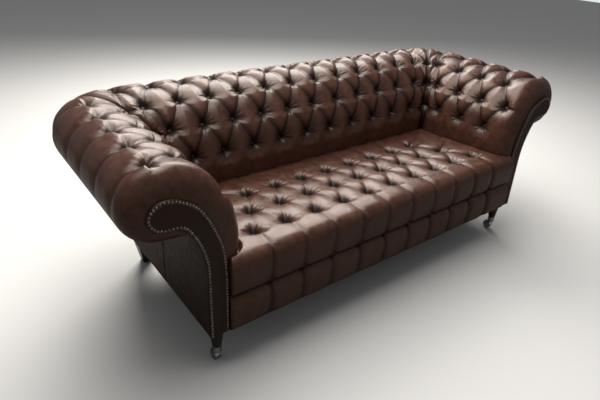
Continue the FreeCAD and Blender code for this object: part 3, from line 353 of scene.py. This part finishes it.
def node(tree, kind, **settings):
    """A node with its settings and plain input values."""
    made = tree.nodes.new(kind)
    for key, value in settings.items():
        if key == "inputs":
            for socket, given in value.items():
                made.inputs[socket].default_value = given
        else:
            setattr(made, key, value)
    return made


def join(tree, source, target):
    tree.links.new(source, target)


def mix_color(tree, factor, first, second):
    """One colour blended into another by a mask."""
    made = node(tree, "ShaderNodeMix", data_type="RGBA")
    join(tree, factor, made.inputs["Factor"])
    for source, number in ((first, 6), (second, 7)):  # the colour sockets A and B
        join(tree, source, made.inputs[number])
    return made.outputs[2]


def ranged(tree, source, low, high, to_low=0.0, to_high=1.0):
    """A value eased from one range into another."""
    made = node(tree, "ShaderNodeMapRange", interpolation_type="SMOOTHSTEP")
    join(tree, source, made.inputs["Value"])
    for key, value in (("From Min", low), ("From Max", high), ("To Min", to_low), ("To Max", to_high)):
        made.inputs[key].default_value = value
    return made.outputs["Result"]


def maths(tree, operation, first, second):
    """A sum or product of two values, each a socket or a number."""
    made = node(tree, "ShaderNodeMath", operation=operation)
    for index, source in enumerate((first, second)):
        if isinstance(source, float):
            made.inputs[index].default_value = source
        else:
            join(tree, source, made.inputs[index])
    return made.outputs[0]


tree = hide_group
where = node(tree, "ShaderNodeTexCoord").outputs["Object"]
pull_mask = node(tree, "ShaderNodeAttribute", attribute_name="pull").outputs["Fac"]
crease_shade_mask = node(tree, "ShaderNodeAttribute", attribute_name="crease_shade").outputs["Fac"]
broad = node(tree, "ShaderNodeTexNoise", inputs={"Scale": 5.0, "Detail": 4.0, "Roughness": 0.6})
blotch = node(tree, "ShaderNodeTexNoise", inputs={"Scale": 38.0, "Detail": 5.0, "Roughness": 0.65})
grain = node(tree, "ShaderNodeTexVoronoi", inputs={"Scale": 620.0})
lines = node(tree, "ShaderNodeTexNoise",
             inputs={"Scale": 60.0, "Detail": 6.0, "Roughness": 0.62, "Distortion": 0.8})
for texture in (broad, blotch, grain, lines):
    join(tree, where, texture.inputs["Vector"])
# paler crowns by height: partly wear, partly a painted highlight
height = ranged(tree, pull_mask, 0.04, 0.42, 1.0, 0.0)
worn_sheen = maths(tree, "MULTIPLY", height, ranged(tree, blotch.outputs["Fac"], 0.30, 0.68, 0.35, 1.0))
worn_sheen = maths(tree, "MULTIPLY", worn_sheen, g_in.outputs["WearSheen"])
tone = mix_color(tree, worn_sheen, g_in.outputs["Body"], g_in.outputs["WornSheen"])
# painted shade: pits and folds darken towards the crease shade colour, by depth and by the crease mask
painted_shade = maths(tree, "MAXIMUM", ranged(tree, pull_mask, 0.34, 0.95, 0.0, 0.95),
             ranged(tree, crease_shade_mask, 0.08, 0.50, 0.0, 0.95))
tone = mix_color(tree, painted_shade, tone, g_in.outputs["CreaseShade"])
mottle = node(tree, "ShaderNodeHueSaturation")
join(tree, tone, mottle.inputs["Color"])
join(tree, ranged(tree, broad.outputs["Fac"], 0.3, 0.7, 0.86, 1.12), mottle.inputs["Value"])
join(tree, mottle.outputs["Color"], g_out.inputs["Color"])
rough = maths(tree, "ADD", g_in.outputs["Gloss"], ranged(tree, blotch.outputs["Fac"], 0.3, 0.7, -0.06, 0.09))
rough = maths(tree, "ADD", rough, ranged(tree, pull_mask, 0.2, 1.0, 0.0, 0.18))
join(tree, rough, g_out.inputs["Roughness"])
surface = maths(tree, "MULTIPLY", grain.outputs["Distance"], 0.25)
surface = maths(tree, "ADD", surface, maths(tree, "MULTIPLY", lines.outputs["Fac"], g_in.outputs["Wrinkle"]))
bump = node(tree, "ShaderNodeBump", inputs={"Strength": 0.35, "Distance": 0.0022})
join(tree, surface, bump.inputs["Height"])
join(tree, bump.outputs["Normal"], g_out.inputs["Normal"])


def new_material(name):
    """A material with its node tree and its shader."""
    material = bpy.data.materials.new(name)
    material.use_nodes = True
    return material, material.node_tree, material.node_tree.nodes["Principled BSDF"]


def leather(name, body, worn_sheen_tone, crease_shade_tone, wear_sheen=1.0, gloss=0.345, wrinkle=1.0, coat=0.12):
    """A leather material: the hide group feeding a shader with a thin wax coat."""
    material, tree, shader = new_material(name)
    hide = node(tree, "ShaderNodeGroup", node_tree=hide_group)
    for label, value in (("Body", body), ("WornSheen", worn_sheen_tone), ("CreaseShade", crease_shade_tone)):
        hide.inputs[label].default_value = (*value, 1)
    for label, value in (("WearSheen", wear_sheen), ("Gloss", gloss), ("Wrinkle", wrinkle)):
        hide.inputs[label].default_value = value
    join(tree, hide.outputs["Color"], shader.inputs["Base Color"])
    join(tree, hide.outputs["Roughness"], shader.inputs["Roughness"])
    join(tree, hide.outputs["Normal"], shader.inputs["Normal"])
    shader.inputs["Specular IOR Level"].default_value = 0.5
    shader.inputs["Specular Tint"].default_value = (1.0, 0.84, 0.72, 1)
    shader.inputs["Coat Weight"].default_value = coat
    shader.inputs["Coat Roughness"].default_value = 0.22
    return material


# the third colour is painted shade for folds and pits; the second is the paler crowns, partly wear and partly
# painted highlight
brown = leather("brown_leather", (0.040, 0.0140, 0.0088), (0.088, 0.0355, 0.0230), (0.0035, 0.0018, 0.0014))

# the fan stops just short of the mitre, so that back and arm don't touch
straight = np.linspace(-1, 1, int(2 * CORNER_X / STEP))
fan = np.linspace(1, 1.998, int(0.30 / STEP))[1:]
back_ts = list(-fan[::-1]) + list(straight) + list(fan)
back = roll_shell("tufted_back", back_station, back_ts, back_folds, back_pits, (0, 0.7, 0.7))
back.data.materials.append(brown)
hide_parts("back_cushion")
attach(back, "sofa")


# Tufted arms. Each is the same padded roll as the back, with its rows of buttons, a
# mitre at the back corner and a rounded front end that turns in behind the facing.
FACING_FRONT = -0.402
FACING_BACK = -0.394
DOME = 0.057
DOME_START = FACING_BACK + 0.0005 + DOME
ARM_PITCH = 0.129
FIRST_ARM = -0.314
ARM_CREST = (TUFT, 0.008, 0.0, NARROW)
ARM_CREST_TAIL = 0.200
SCROLL_START = (-0.181, -0.291)
SCROLL_ARCS = [
    ((-0.177, -0.226), (-0.169, -0.169)), ((-0.159, -0.135), (-0.1455, -0.103)),
    ((-0.129, -0.065), (-0.109, -0.032)), ((-0.0855, -0.005), (-0.058, 0.013)),
    ((-0.031, 0.026), (-0.002, 0.031)), ((0.022, 0.026), (0.040, 0.012)),
    ((0.051, -0.011), (0.0447, -0.0375)), ((0.028, -0.055), (0.005, -0.063)),
    ((-0.020, -0.0635), (-0.040, -0.067)), ((-0.051, -0.074), (-0.0602, -0.0856)),
    ((-0.072, -0.104), (-0.0815, -0.1225)), ((-0.094, -0.152), (-0.1032, -0.1815)),
    ((-0.110, -0.221), (-0.112, -0.259))]
scroll, _, _ = smooth_run([SCROLL_START] + [p for arc in SCROLL_ARCS for p in arc], 10)


def arm_station(t):
    """Section of the right arm: -1 to 0 over the front dome, 0 to 1 straight, 1 to 2 the corner."""
    if t <= 0:
        return (CORNER_X, DOME_START - DOME * math.sin(-t * math.pi / 2)), (1.0, 0.0), (1.0, 0.0)
    if t <= 1:
        return (CORNER_X, DOME_START + (CORNER_Y - DOME_START) * t), (1.0, 0.0), (1.0, 0.0)
    corner = (CORNER_X, CORNER_Y)
    if t <= BEND:
        return corner, (1.0, (t - 1) / (BEND - 1) * (1 - CORNER_ROUND)), (1.0, 0.0)
    return (corner, *bend(math.radians((t - BEND) / (2 - BEND) * 45)))


def arm_place(row, step):
    """Station and distance of an arm button, by its step in pitches from the front one."""
    y = FIRST_ARM + step * ARM_PITCH
    if y <= CORNER_Y:
        return ((y - DOME_START) / (CORNER_Y - DOME_START), ROW_S[row])
    reach = on_crown(np.array([ROW_S[row]]))[0][0][0] + FOOT_REACH
    return (turn_of((y - CORNER_Y) / reach), ROW_S[row])


EASE = 25  # points over which the dome's edge is evened out
near_edge = np.array([scroll[np.argmin(np.linalg.norm(scroll - p, axis=1))] for p in crown])
near_edge[:, 1] = np.maximum(near_edge[:, 1], FOOT_UP)
kernel = np.ones(EASE) / EASE
smoothed = np.stack([np.convolve(np.pad(near_edge[:, k], EASE // 2, mode="edge"), kernel, mode="valid")
                     for k in (0, 1)], -1)


def arm_dome(t, s, points):
    """Section points drawn towards the edge of the facing as the front end rounds over."""
    edge = np.stack([np.interp(s, crown_length, smoothed[:, k]) for k in (0, 1)], -1)
    return points + (edge - points) * (1 - math.cos(-t * math.pi / 2) if t < 0 else 0.0)


def arm_fold(start, end, steps=6):
    return fold_line(arm_station, start, end, steps, arm_dome)


ARM_STEPS = [np.arange(0.5, 3), np.arange(0, 4), np.arange(0.5, 4), np.arange(0, 5)]
arm_folds = []
for row in range(3):
    for step in ARM_STEPS[row]:
        for other in (step - 0.5, step + 0.5):
            if other in ARM_STEPS[row + 1]:
                arm_folds.append((arm_fold(arm_place(row, step), arm_place(row + 1, other)), *DIAMOND))
arm_folds += mitre_folds(arm_fold, [arm_place(row, step) for row, step in ((1, 3), (2, 3.5), (3, 4))], 2.0)
for step in ARM_STEPS[3]:
    t, s = arm_place(3, step)
    arm_folds.append((arm_fold((t, s), (t, s + ARM_CREST_TAIL), 8), *ARM_CREST))
for step in ARM_STEPS[0]:
    t, s = arm_place(0, step)
    arm_folds.append((arm_fold((t, s), (t, s - FOOT_TAIL)), *FOOT_PLEAT))
# soft folds that fan out over the front dome, most of them round the hook
t, s = arm_place(3, 0)
arm_folds.append((arm_fold((t, s), (-0.96, s + 0.02), 8), TUFT, 0.0022, 0.001, 0.026))
for s, depth in ((0.50, 0.0008), (0.665, 0.0030), (0.70, 0.0014), (0.755, 0.0030), (0.80, 0.0018)):
    arm_folds.append((arm_fold((-0.30, s), (-0.98, s), 8), 0.0003, depth, depth * 1.3, 0.024))
arm_tufts = [tuft_at(arm_station(arm_place(row, step)[0]), ROW_S[row])
             for row in range(4) for step in ARM_STEPS[row]]
arm_pits = arm_tufts + [tuft_at(arm_station(2.0), ROW_S[row]) for row in (1, 2)]

dome_run = np.linspace(-1, 0, int(0.10 / STEP))[:-1]
arm_run = np.linspace(0, 1, int((CORNER_Y - DOME_START) / STEP))
arm_ts = list(dome_run) + list(arm_run) + list(fan)
to_left = Matrix.Scale(-1, 4, (1, 0, 0))
for side in ("right", "left"):
    arm = roll_shell(side + "_tufted_arm", arm_station, arm_ts, arm_folds, arm_pits, (0.7, 0, 0.7), arm_dome)
    if side == "left":
        arm.data.transform(to_left)
        arm.data.flip_normals()
    arm.data.materials.append(brown)
    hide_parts(side + "_arm_cushion")
    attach(arm, "sofa")


# Tufted seat. One deep cover over foam and springs, with three staggered rows of
# buttons and a border that turns down at the front in pleats.
SEAT_PITCH = 0.127
SEAT_TUFT = 0.027
FRONT = -0.424
SEAM = 0.2745
SEAT_END = 0.7182
SEAT_BACK = 0.129
SEAT_UNDER = 0.352
SEAT_ROWS = [(-0.296, 0.409), (-0.1715, 0.4005), (-0.047, 0.392)]
SEAT_RUN = [
    (FRONT + 0.021, SEAM), (FRONT + 0.0085, SEAM + 0.012), (FRONT + 0.003, SEAM + 0.040),
    (FRONT + 0.001, 0.345), (FRONT + 0.003, 0.372), (FRONT + 0.011, 0.394), (FRONT + 0.027, 0.407),
    (FRONT + 0.050, 0.412), (-0.335, 0.413), SEAT_ROWS[0], (-0.235, 0.408), SEAT_ROWS[1],
    (-0.110, 0.399), SEAT_ROWS[2], (0.015, 0.391), (0.073, 0.3878), (SEAT_BACK, 0.3878)]
SEAT_HIDDEN = [(SEAT_BACK, SEAT_UNDER), (0.0, SEAT_UNDER), (-0.2, SEAT_UNDER), (-0.392, SEAT_UNDER),
               (-0.392, 0.300), (FACING_BACK, SEAM)]
seat_crown, seat_length, seat_knots = smooth_run(SEAT_RUN)
SEAT_S = [seat_knots[k] for k in (9, 11, 13)]
EDGE_S = seat_knots[6]
# depths of each kind of fold at its start, middle and end, and its width
SEAT_DIAMOND = (SEAT_TUFT, 0.006, SEAT_TUFT, 0.050)
SEAT_FRONT = (SEAT_TUFT, 0.006, 0.007, 0.038)
BORDER_PLEAT = (0.007, 0.0085, 0.012, 0.030)
SEAT_REAR = (SEAT_TUFT, 0.006, 0.002, 0.050)
SEAT_SIDE = (SEAT_TUFT, 0.007, 0.001, 0.050)


def seat_fold(start, end, steps=6):
    """A fold of the seat between two (x, distance) places."""
    share = np.linspace(0, 1, steps + 1)
    point, _ = on_line(seat_crown, seat_length, start[1] + (end[1] - start[1]) * share)
    return np.column_stack([start[0] + (end[0] - start[0]) * share, point])


seat_folds = []
SEAT_STEPS = [np.arange(-4.5, 5), np.arange(-4, 5), np.arange(-3.5, 4)]
for step in SEAT_STEPS[1]:
    for row in (0, 2):
        for other in (step - 0.5, step + 0.5):
            if other in SEAT_STEPS[row]:
                ends = (step * SEAT_PITCH, SEAT_S[1]), (other * SEAT_PITCH, SEAT_S[row])
                seat_folds.append((seat_fold(*ends), *SEAT_DIAMOND))
for step in SEAT_STEPS[0]:
    x = step * SEAT_PITCH
    seat_folds.append((seat_fold((x, SEAT_S[0]), (x, EDGE_S), 8), *SEAT_FRONT))
    seat_folds.append((seat_fold((x, EDGE_S), (x, 0.0), 10), *BORDER_PLEAT))
for step in SEAT_STEPS[2]:
    x = step * SEAT_PITCH
    seat_folds.append((seat_fold((x, SEAT_S[2]), (x, SEAT_S[2] + 0.105)), *SEAT_REAR))
for side in (-1, 1):
    for row, last, out, on in ((1, 4, 0.63, 0.06), (2, 3.5, 0.60, 0.08)):
        ends = (side * last * SEAT_PITCH, SEAT_S[row]), (side * out, SEAT_S[row] + on)
        seat_folds.append((seat_fold(*ends), *SEAT_SIDE))
seat_tufts = [(np.array([step * SEAT_PITCH, *SEAT_ROWS[row]]), np.array([0, 0, 1.0]), np.array([0, 1.0, 0]))
              for row in range(3) for step in SEAT_STEPS[row]]


def across_shell(name, section, hidden, xs, folds, over, tufts=(), ceiling=None):
    """A closed padded piece that keeps one section from the first of xs to the last."""
    points, normals = section
    hidden = np.array(hidden)
    loop = np.vstack([points, hidden, points[:1]])
    outs = np.vstack([normals, hidden * 0, points[:1] * 0])
    spots = np.array([np.column_stack([np.full(len(loop), x), loop]) for x in xs])
    outs = np.array([np.column_stack([np.zeros(len(loop)), outs]) for _ in xs])
    return close_shell(name, spots, outs, folds, tufts, over, ceiling)


def seat_ceiling(x, y):
    """The seat dips under the arm padding at its ends, as far forward as that reaches, and
    under the back."""
    into_dome = np.clip((DOME_START - y) / DOME, 0, 1)
    foot = CORNER_X + 0.0625 * (1 - np.sqrt(1 - into_dome ** 2))
    edge = np.interp(x - foot, [-0.045, -0.008, -0.002, 1.0], [0.50, 0.400, 0.3876, 0.3876])
    return np.where(y > 0.060, np.minimum(edge, 0.3884), edge)


seat_s = np.linspace(0, seat_length[-1], int(seat_length[-1] / STEP))
seat_xs = np.linspace(-SEAT_END, SEAT_END, int(2 * SEAT_END / STEP))
seat = across_shell("tufted_seat", on_line(seat_crown, seat_length, seat_s), SEAT_HIDDEN, seat_xs, seat_folds,
                    (0.4, 0.9, 0), seat_tufts, seat_ceiling)
seat.data.materials.append(brown)
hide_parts("seat_cover")
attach(seat, "sofa")


# Lower front: one strip of leather in eleven puffed panels, pleated in line with the
# seat border above it and tucked in along the seam.
LOWER_TOP, LOWER_BOTTOM, LOWER_BACK = 0.2732, 0.146, -0.3945
LOWER_PLEAT = (0.012, 0.010, 0.014, 0.032)
LOWER_RUN = [
    (FRONT + 0.020, LOWER_BOTTOM), (FRONT + 0.013, 0.152), (FRONT + 0.007, 0.170), (FRONT + 0.003, 0.205),
    (FRONT + 0.002, 0.232), (FRONT + 0.005, 0.251), (FRONT + 0.012, 0.265), (FRONT + 0.023, LOWER_TOP)]
lower_crown, lower_length, _ = smooth_run(LOWER_RUN)
lower_side, _ = on_line(lower_crown, lower_length, np.linspace(0, lower_length[-1], 9))
lower_folds = [(np.column_stack([np.full(9, step * SEAT_PITCH), lower_side]), *LOWER_PLEAT)
               for step in SEAT_STEPS[0]]
lower_s = np.linspace(0, lower_length[-1], int(lower_length[-1] / STEP))
lower = across_shell("lower_front", on_line(lower_crown, lower_length, lower_s),
                     [(LOWER_BACK, LOWER_TOP), (LOWER_BACK, LOWER_BOTTOM)], seat_xs, lower_folds, (1, 0, 0))
lower.data.materials.append(brown)
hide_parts("lower_front_cover")
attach(lower, "sofa")


# Covered buttons: a small dome covered in the same leather, drawn down with twine to the
# bottom of a tuft; its colours are darker than the hide's, painted shade of the pit. The mitres between back and
# arms have pits but no buttons.
BUTTON_RADIUS = 0.0090
BUTTON_FLATNESS = 0.62
BUTTON_RISE = 0.0055  # middle of a button above the bottom of its pit
# darker than the hide: painted shade of the pits the buttons sit in
shaded_button_leather = leather("shaded_button_leather", (0.030, 0.011, 0.008), (0.050, 0.022, 0.016), (0.01, 0.005, 0.004),
                         gloss=0.42, wrinkle=0.5, coat=0.0)


def button_piece(name, places, node_name):
    """All the buttons of one cushion, each a flattened ball set along its direction."""
    bm = bmesh.new()
    for spot, direction in places:
        made = bmesh.ops.create_uvsphere(bm, u_segments=16, v_segments=8, radius=BUTTON_RADIUS)
        turn = Vector(direction).to_track_quat("Z", "Y").to_matrix().to_4x4()
        bmesh.ops.scale(bm, vec=(1, 1, BUTTON_FLATNESS), verts=made["verts"])
        bmesh.ops.transform(bm, matrix=Matrix.Translation(Vector(spot)) @ turn, verts=made["verts"])
    for face in bm.faces:
        face.smooth = True
    piece = piece_from(bm, name)
    piece.data.materials.append(shaded_button_leather)
    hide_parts(node_name)
    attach(piece, "sofa")


def sunk(tufts, tuft_depth):
    """Places and directions of buttons that sit at the bottom of their tufts."""
    return [(spot - out * (tuft_depth + PIT - BUTTON_RISE), out) for spot, out, _ in tufts]


button_piece("back_covered_buttons", sunk(back_tufts, TUFT), "back_buttons")
right_places = sunk(arm_tufts, TUFT)
button_piece("right_covered_buttons", right_places, "right_arm_buttons")
mirror = np.array([-1, 1, 1])
left_places = [(spot * mirror, out * mirror) for spot, out in right_places]
button_piece("left_covered_buttons", left_places, "left_arm_buttons")
button_piece("seat_covered_buttons", sunk(seat_tufts, SEAT_TUFT), "seat_buttons")


# Scroll facings: a shaped board covered in smooth leather, its edge rounded over, with
# a row of domed metal nails set in from the edge. The leather's colours are the hide's darkened, as painted
# shade.
FACING_BOTTOM = 0.144
FACING_FOOT = (-0.182, -0.1155)  # inner and outer edge at the foot, from the roll's middle
FACING_ROUND = 0.0042
FACING_LAP = 0.0004
# the hide's colours darkened as painted shade, for the facings and the outside covers
shaded_facing_leather = leather("shaded_facing_leather", (0.020, 0.0065, 0.0035), (0.030, 0.011, 0.007), (0.006, 0.003, 0.002),
                         wear_sheen=0.5, gloss=0.46, wrinkle=0.2, coat=0.0)


def outline_at(inset):
    """Scroll outline moved inwards, in (out, up), with its straight lower end."""
    ahead = np.gradient(scroll, axis=0)
    ahead /= np.linalg.norm(ahead, axis=1, keepdims=True)
    moved = scroll - inset * np.stack([-ahead[:, 1], ahead[:, 0]], -1)
    low = FACING_BOTTOM - ROLL_Z
    return np.vstack([[(FACING_FOOT[0] + inset, low)], moved, [(FACING_FOOT[1] - inset, low)]])


for side, sign in (("right", 1), ("left", -1)):
    bm = bmesh.new()
    corners = [bm.verts.new((sign * (ARM_ROLL_X + out), FACING_BACK - FACING_LAP, ROLL_Z + up))
               for out, up in outline_at(0.0)[::2]]
    board = bm.faces.new(corners)
    grown = bmesh.ops.extrude_face_region(bm, geom=[board])
    front = [g for g in grown["geom"] if isinstance(g, bmesh.types.BMVert)]
    bmesh.ops.translate(bm, verts=front, vec=(0, FACING_FRONT - FACING_BACK + FACING_LAP, 0))
    rim = [e for e in bm.edges if all(v in front for v in e.verts) and not e.is_boundary]
    bmesh.ops.bevel(bm, geom=rim, offset=FACING_ROUND, segments=4, profile=0.5, affect="EDGES", material=-1)
    bmesh.ops.recalc_face_normals(bm, faces=bm.faces)
    for face in bm.faces:
        face.smooth = len(face.verts) < 12
    piece = piece_from(bm, side + "_scroll_facing")
    piece.data.materials.append(shaded_facing_leather)
    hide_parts(side + "_facing")
    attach(piece, "sofa")


# Metal: antique nickel nails and polished castors, wood: black lacquered legs. These
# CAD pieces keep their shapes and only get their finishes.
metal_group, s_in, s_out = new_group(
    "handled metal",
    [("Tone", COLOR, (0.5, 0.5, 0.5, 1)), ("Tarnish", COLOR, (0.1, 0.09, 0.08, 1)), ("Gloss", FLOAT, 0.2)],
    [("Color", COLOR), ("Roughness", FLOAT)])
tree = metal_group
where = node(tree, "ShaderNodeTexCoord").outputs["Object"]
specks = node(tree, "ShaderNodeTexNoise", inputs={"Scale": 160.0, "Detail": 4.0})
join(tree, where, specks.inputs["Vector"])
dulled = ranged(tree, specks.outputs["Fac"], 0.45, 0.70)
join(tree, mix_color(tree, dulled, s_in.outputs["Tone"], s_in.outputs["Tarnish"]), s_out.inputs["Color"])
handled = ranged(tree, specks.outputs["Fac"], 0.4, 0.7, 0.0, 0.2)
join(tree, maths(tree, "ADD", s_in.outputs["Gloss"], handled), s_out.inputs["Roughness"])


def metal(name, tone, tarnish, gloss):
    """A metal with specks of tarnish."""
    material, tree, shader = new_material(name)
    finish = node(tree, "ShaderNodeGroup", node_tree=metal_group)
    finish.inputs["Tone"].default_value = (*tone, 1)
    finish.inputs["Tarnish"].default_value = (*tarnish, 1)
    finish.inputs["Gloss"].default_value = gloss
    join(tree, finish.outputs["Color"], shader.inputs["Base Color"])
    join(tree, finish.outputs["Roughness"], shader.inputs["Roughness"])
    shader.inputs["Metallic"].default_value = 1.0
    return material


def finish_node(name, material):
    """Gives a CAD node a material in all its slots."""
    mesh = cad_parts[name].data
    mesh.materials.clear()
    mesh.materials.append(material)


nickel = metal("antique_nickel", (0.30, 0.275, 0.245), (0.07, 0.06, 0.05), 0.26)
chrome = metal("polished_castor", (0.80, 0.80, 0.80), (0.55, 0.55, 0.54), 0.10)
steel = metal("spring_wire", (0.45, 0.46, 0.48), (0.20, 0.20, 0.20), 0.35)


def two_tones(tree, factor, first, second):
    """A mask that blends one plain colour into another."""
    tones = node(tree, "ShaderNodeRGB"), node(tree, "ShaderNodeRGB")
    for made, value in zip(tones, (first, second)):
        made.outputs[0].default_value = (*value, 1)
    return mix_color(tree, factor, tones[0].outputs[0], tones[1].outputs[0])


def wood(name, light, dark, gloss, coat):
    """Long-grained timber: noise drawn out along Z, with a varnish coat."""
    material, tree, shader = new_material(name)
    where = node(tree, "ShaderNodeTexCoord").outputs["Object"]
    stretch = node(tree, "ShaderNodeMapping", inputs={"Scale": (3.0, 3.0, 0.4)})
    join(tree, where, stretch.inputs["Vector"])
    lines = node(tree, "ShaderNodeTexNoise", inputs={"Scale": 40.0, "Detail": 6.0, "Distortion": 0.5})
    join(tree, stretch.outputs["Vector"], lines.inputs["Vector"])
    streaks = ranged(tree, lines.outputs["Fac"], 0.35, 0.65)
    join(tree, two_tones(tree, streaks, light, dark), shader.inputs["Base Color"])
    join(tree, ranged(tree, lines.outputs["Fac"], 0.3, 0.7, gloss, gloss + 0.12), shader.inputs["Roughness"])
    shader.inputs["Coat Weight"].default_value = coat
    return material


lacquer = wood("black_lacquer", (0.020, 0.016, 0.015), (0.008, 0.006, 0.006), 0.18, 0.6)
beech = wood("sawn_beech", (0.60, 0.43, 0.26), (0.42, 0.28, 0.16), 0.55, 0.0)
for side in ("left", "right"):
    finish_node(side + "_facing_nails", nickel)
    finish_node(side + "_front_leg", lacquer)
    finish_node(side + "_rear_leg", lacquer)
    for part in ("cup", "fork", "axle", "wheel"):
        finish_node("%s_castor_%s" % (side, part), chrome)
    for part in ("side_rail", "arm_front_board", "arm_rear_board", "arm_roll_rail"):
        finish_node("%s_%s" % (side, part), beech)
for part in ("front_rail", "rear_rail", "seat_cross_rails", "corner_blocks", "back_boards", "back_roll_rail"):
    finish_node(part, beech)
for part in ("leg_bolts", "seat_springs", "spring_clips"):
    finish_node(part, steel)


# Outside covers: plain leather stretched over the outside arms and back, in the facings'
# leather, which is darkened as painted shade. Each arm's cover has one upright pleat.
COVER_TOP, COVER_OUT, COVER_BOTTOM = -0.0925, -0.125, 0.148
COVER_THICKNESS = 0.0055
COVER_FRONT, COVER_REAR = -0.3932, 0.2452
PLEAT_Y = -0.077
PLEAT = (0.0035, 0.0035, 0.0035, 0.018)
panel_run = outline_at(0.0005)[::-1]
panel_run = panel_run[panel_run[:, 1] < COVER_TOP]
panel_run = panel_run[panel_run[:, 0] > COVER_OUT]
panel_run[0, 1] = COVER_BOTTOM - ROLL_Z
panel_crown, panel_length, _ = smooth_run(list(panel_run[:1]) + list(panel_run[1::8]) + list(panel_run[-1:]), 6)


def on_panel(s):
    """Point and outward direction on the outside of the arm's cover, from the rail up."""
    point, inward = on_line(panel_crown, panel_length, s)
    return point + (ARM_ROLL_X, ROLL_Z), -inward


panel_s = np.linspace(0, panel_length[-1], int(panel_length[-1] / (2 * STEP)))
panel_ys = np.linspace(COVER_FRONT, COVER_REAR, int((COVER_REAR - COVER_FRONT) / STEP))
outer, outward = on_panel(panel_s)
pleat = np.column_stack([np.full(9, PLEAT_Y), on_panel(np.linspace(0, panel_length[-1], 9))[0]])
swap_x_y = Matrix(((0, 1, 0, 0), (1, 0, 0, 0), (0, 0, 1, 0), (0, 0, 0, 1)))
for side in ("right", "left"):
    cover = across_shell(side + "_outside_cover", (outer, outward), (outer - outward * COVER_THICKNESS)[::-1],
                         panel_ys, [(pleat, *PLEAT)], (1, 0, 0))
    cover.data.transform(swap_x_y)
    if side == "left":
        cover.data.transform(to_left)
    else:
        cover.data.flip_normals()
    cover.data.materials.append(shaded_facing_leather)
    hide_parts(side + "_outside_arm_panel")
    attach(cover, "sofa")
finish_node("outside_back_panel", shaded_facing_leather)


# Hidden cloth: hessian over the springs, webbing straps, the foam and the black dust
# cover under the seat.
def cloth(name, thread, gap, scale):
    """A plain weave: paler threads with darker gaps between them."""
    material, tree, shader = new_material(name)
    where = node(tree, "ShaderNodeTexCoord").outputs["Object"]
    weave = node(tree, "ShaderNodeTexVoronoi", inputs={"Scale": scale})
    join(tree, where, weave.inputs["Vector"])
    open_weave = ranged(tree, weave.outputs["Distance"], 0.2, 0.6)
    join(tree, two_tones(tree, open_weave, thread, gap), shader.inputs["Base Color"])
    shader.inputs["Roughness"].default_value = 0.9
    return material


hessian = cloth("hessian", (0.50, 0.40, 0.26), (0.20, 0.15, 0.09), 500.0)
straps = cloth("webbing", (0.30, 0.25, 0.18), (0.12, 0.10, 0.07), 400.0)
foam = cloth("foam", (0.80, 0.74, 0.58), (0.62, 0.56, 0.42), 700.0)
dust_cloth = cloth("dust_cloth", (0.030, 0.030, 0.030), (0.010, 0.010, 0.010), 600.0)
for name, material in (("seat_hessian", hessian), ("back_webbing", straps), ("left_arm_webbing", straps),
                       ("right_arm_webbing", straps), ("seat_foam", foam), ("dust_cover", dust_cloth)):
    finish_node(name, material)


# Room: a pale floor that takes the shadow, and soft light from above. Floor and
# surroundings look paler to the camera than the light that they give.
FLOOR_GIVES, FLOOR_SEEN = (0.20, 0.19, 0.18), (0.74, 0.73, 0.71)
SKY_GIVES, SKY_SEEN = 0.20, 0.85
bm = bmesh.new()
bmesh.ops.create_grid(bm, x_segments=1, y_segments=1, size=12)
floor = piece_from(bm, "floor")
floor_finish, tree, shader = new_material("pale_floor")
seen = node(tree, "ShaderNodeLightPath").outputs["Is Camera Ray"]
join(tree, two_tones(tree, seen, FLOOR_GIVES, FLOOR_SEEN), shader.inputs["Base Color"])
shader.inputs["Specular IOR Level"].default_value = 0.2
shader.inputs["Roughness"].default_value = 0.7
floor.data.materials.append(floor_finish)
world = bpy.data.worlds.new("room")
bpy.context.scene.world = world
world.use_nodes = True
tree = world.node_tree
sky = tree.nodes["Background"]
sky.inputs["Color"].default_value = (0.92, 0.94, 0.97, 1)
seen = node(tree, "ShaderNodeLightPath").outputs["Is Camera Ray"]
join(tree, ranged(tree, seen, 0.0, 1.0, SKY_GIVES, SKY_SEEN), sky.inputs["Strength"])


def lamp(name, spot, aim, size, power, colour):
    """A soft rectangular lamp that points at a place."""
    data = bpy.data.lights.new(name, "AREA")
    data.shape = "RECTANGLE"
    data.size, data.size_y = size
    data.energy = power
    data.color = colour
    made = bpy.data.objects.new(name, data)
    bpy.context.collection.objects.link(made)
    made.location = spot
    made.rotation_euler = (Vector(aim) - Vector(spot)).to_track_quat("-Z", "Y").to_euler()


lamp("window", (1.0, 2.0, 2.5), (0, 0, 0.4), (2.8, 1.6), 128, (1.0, 0.97, 0.93))
lamp("ceiling", (-0.4, 0.3, 2.9), (0, 0, 0.3), (2.8, 1.8), 80, (1.0, 0.98, 0.95))

# the photograph's viewpoint: where the camera stands and its own right, up and forward
CAMERA_PLACE = (-1.335, -1.483, 1.292)
CAMERA_RIGHT = Vector((0.794, -0.6056, 0.0526))
CAMERA_UP = Vector((0.2129, 0.3582, 0.9091))
CAMERA_FORWARD = Vector((0.5694, 0.7106, -0.4133))
cam_data = bpy.data.cameras.new("camera")
cam = bpy.data.objects.new("camera", cam_data)
bpy.context.collection.objects.link(cam)
turn = Matrix((CAMERA_RIGHT, CAMERA_UP, -CAMERA_FORWARD)).transposed().to_4x4()
cam.matrix_world = Matrix.Translation(CAMERA_PLACE) @ turn
cam_data.lens = 30.97
cam_data.sensor_width = 36
cam_data.shift_x = -0.0058
cam_data.shift_y = -0.0661
bpy.context.scene.camera = cam
bpy.context.scene.view_settings.view_transform = "Standard"
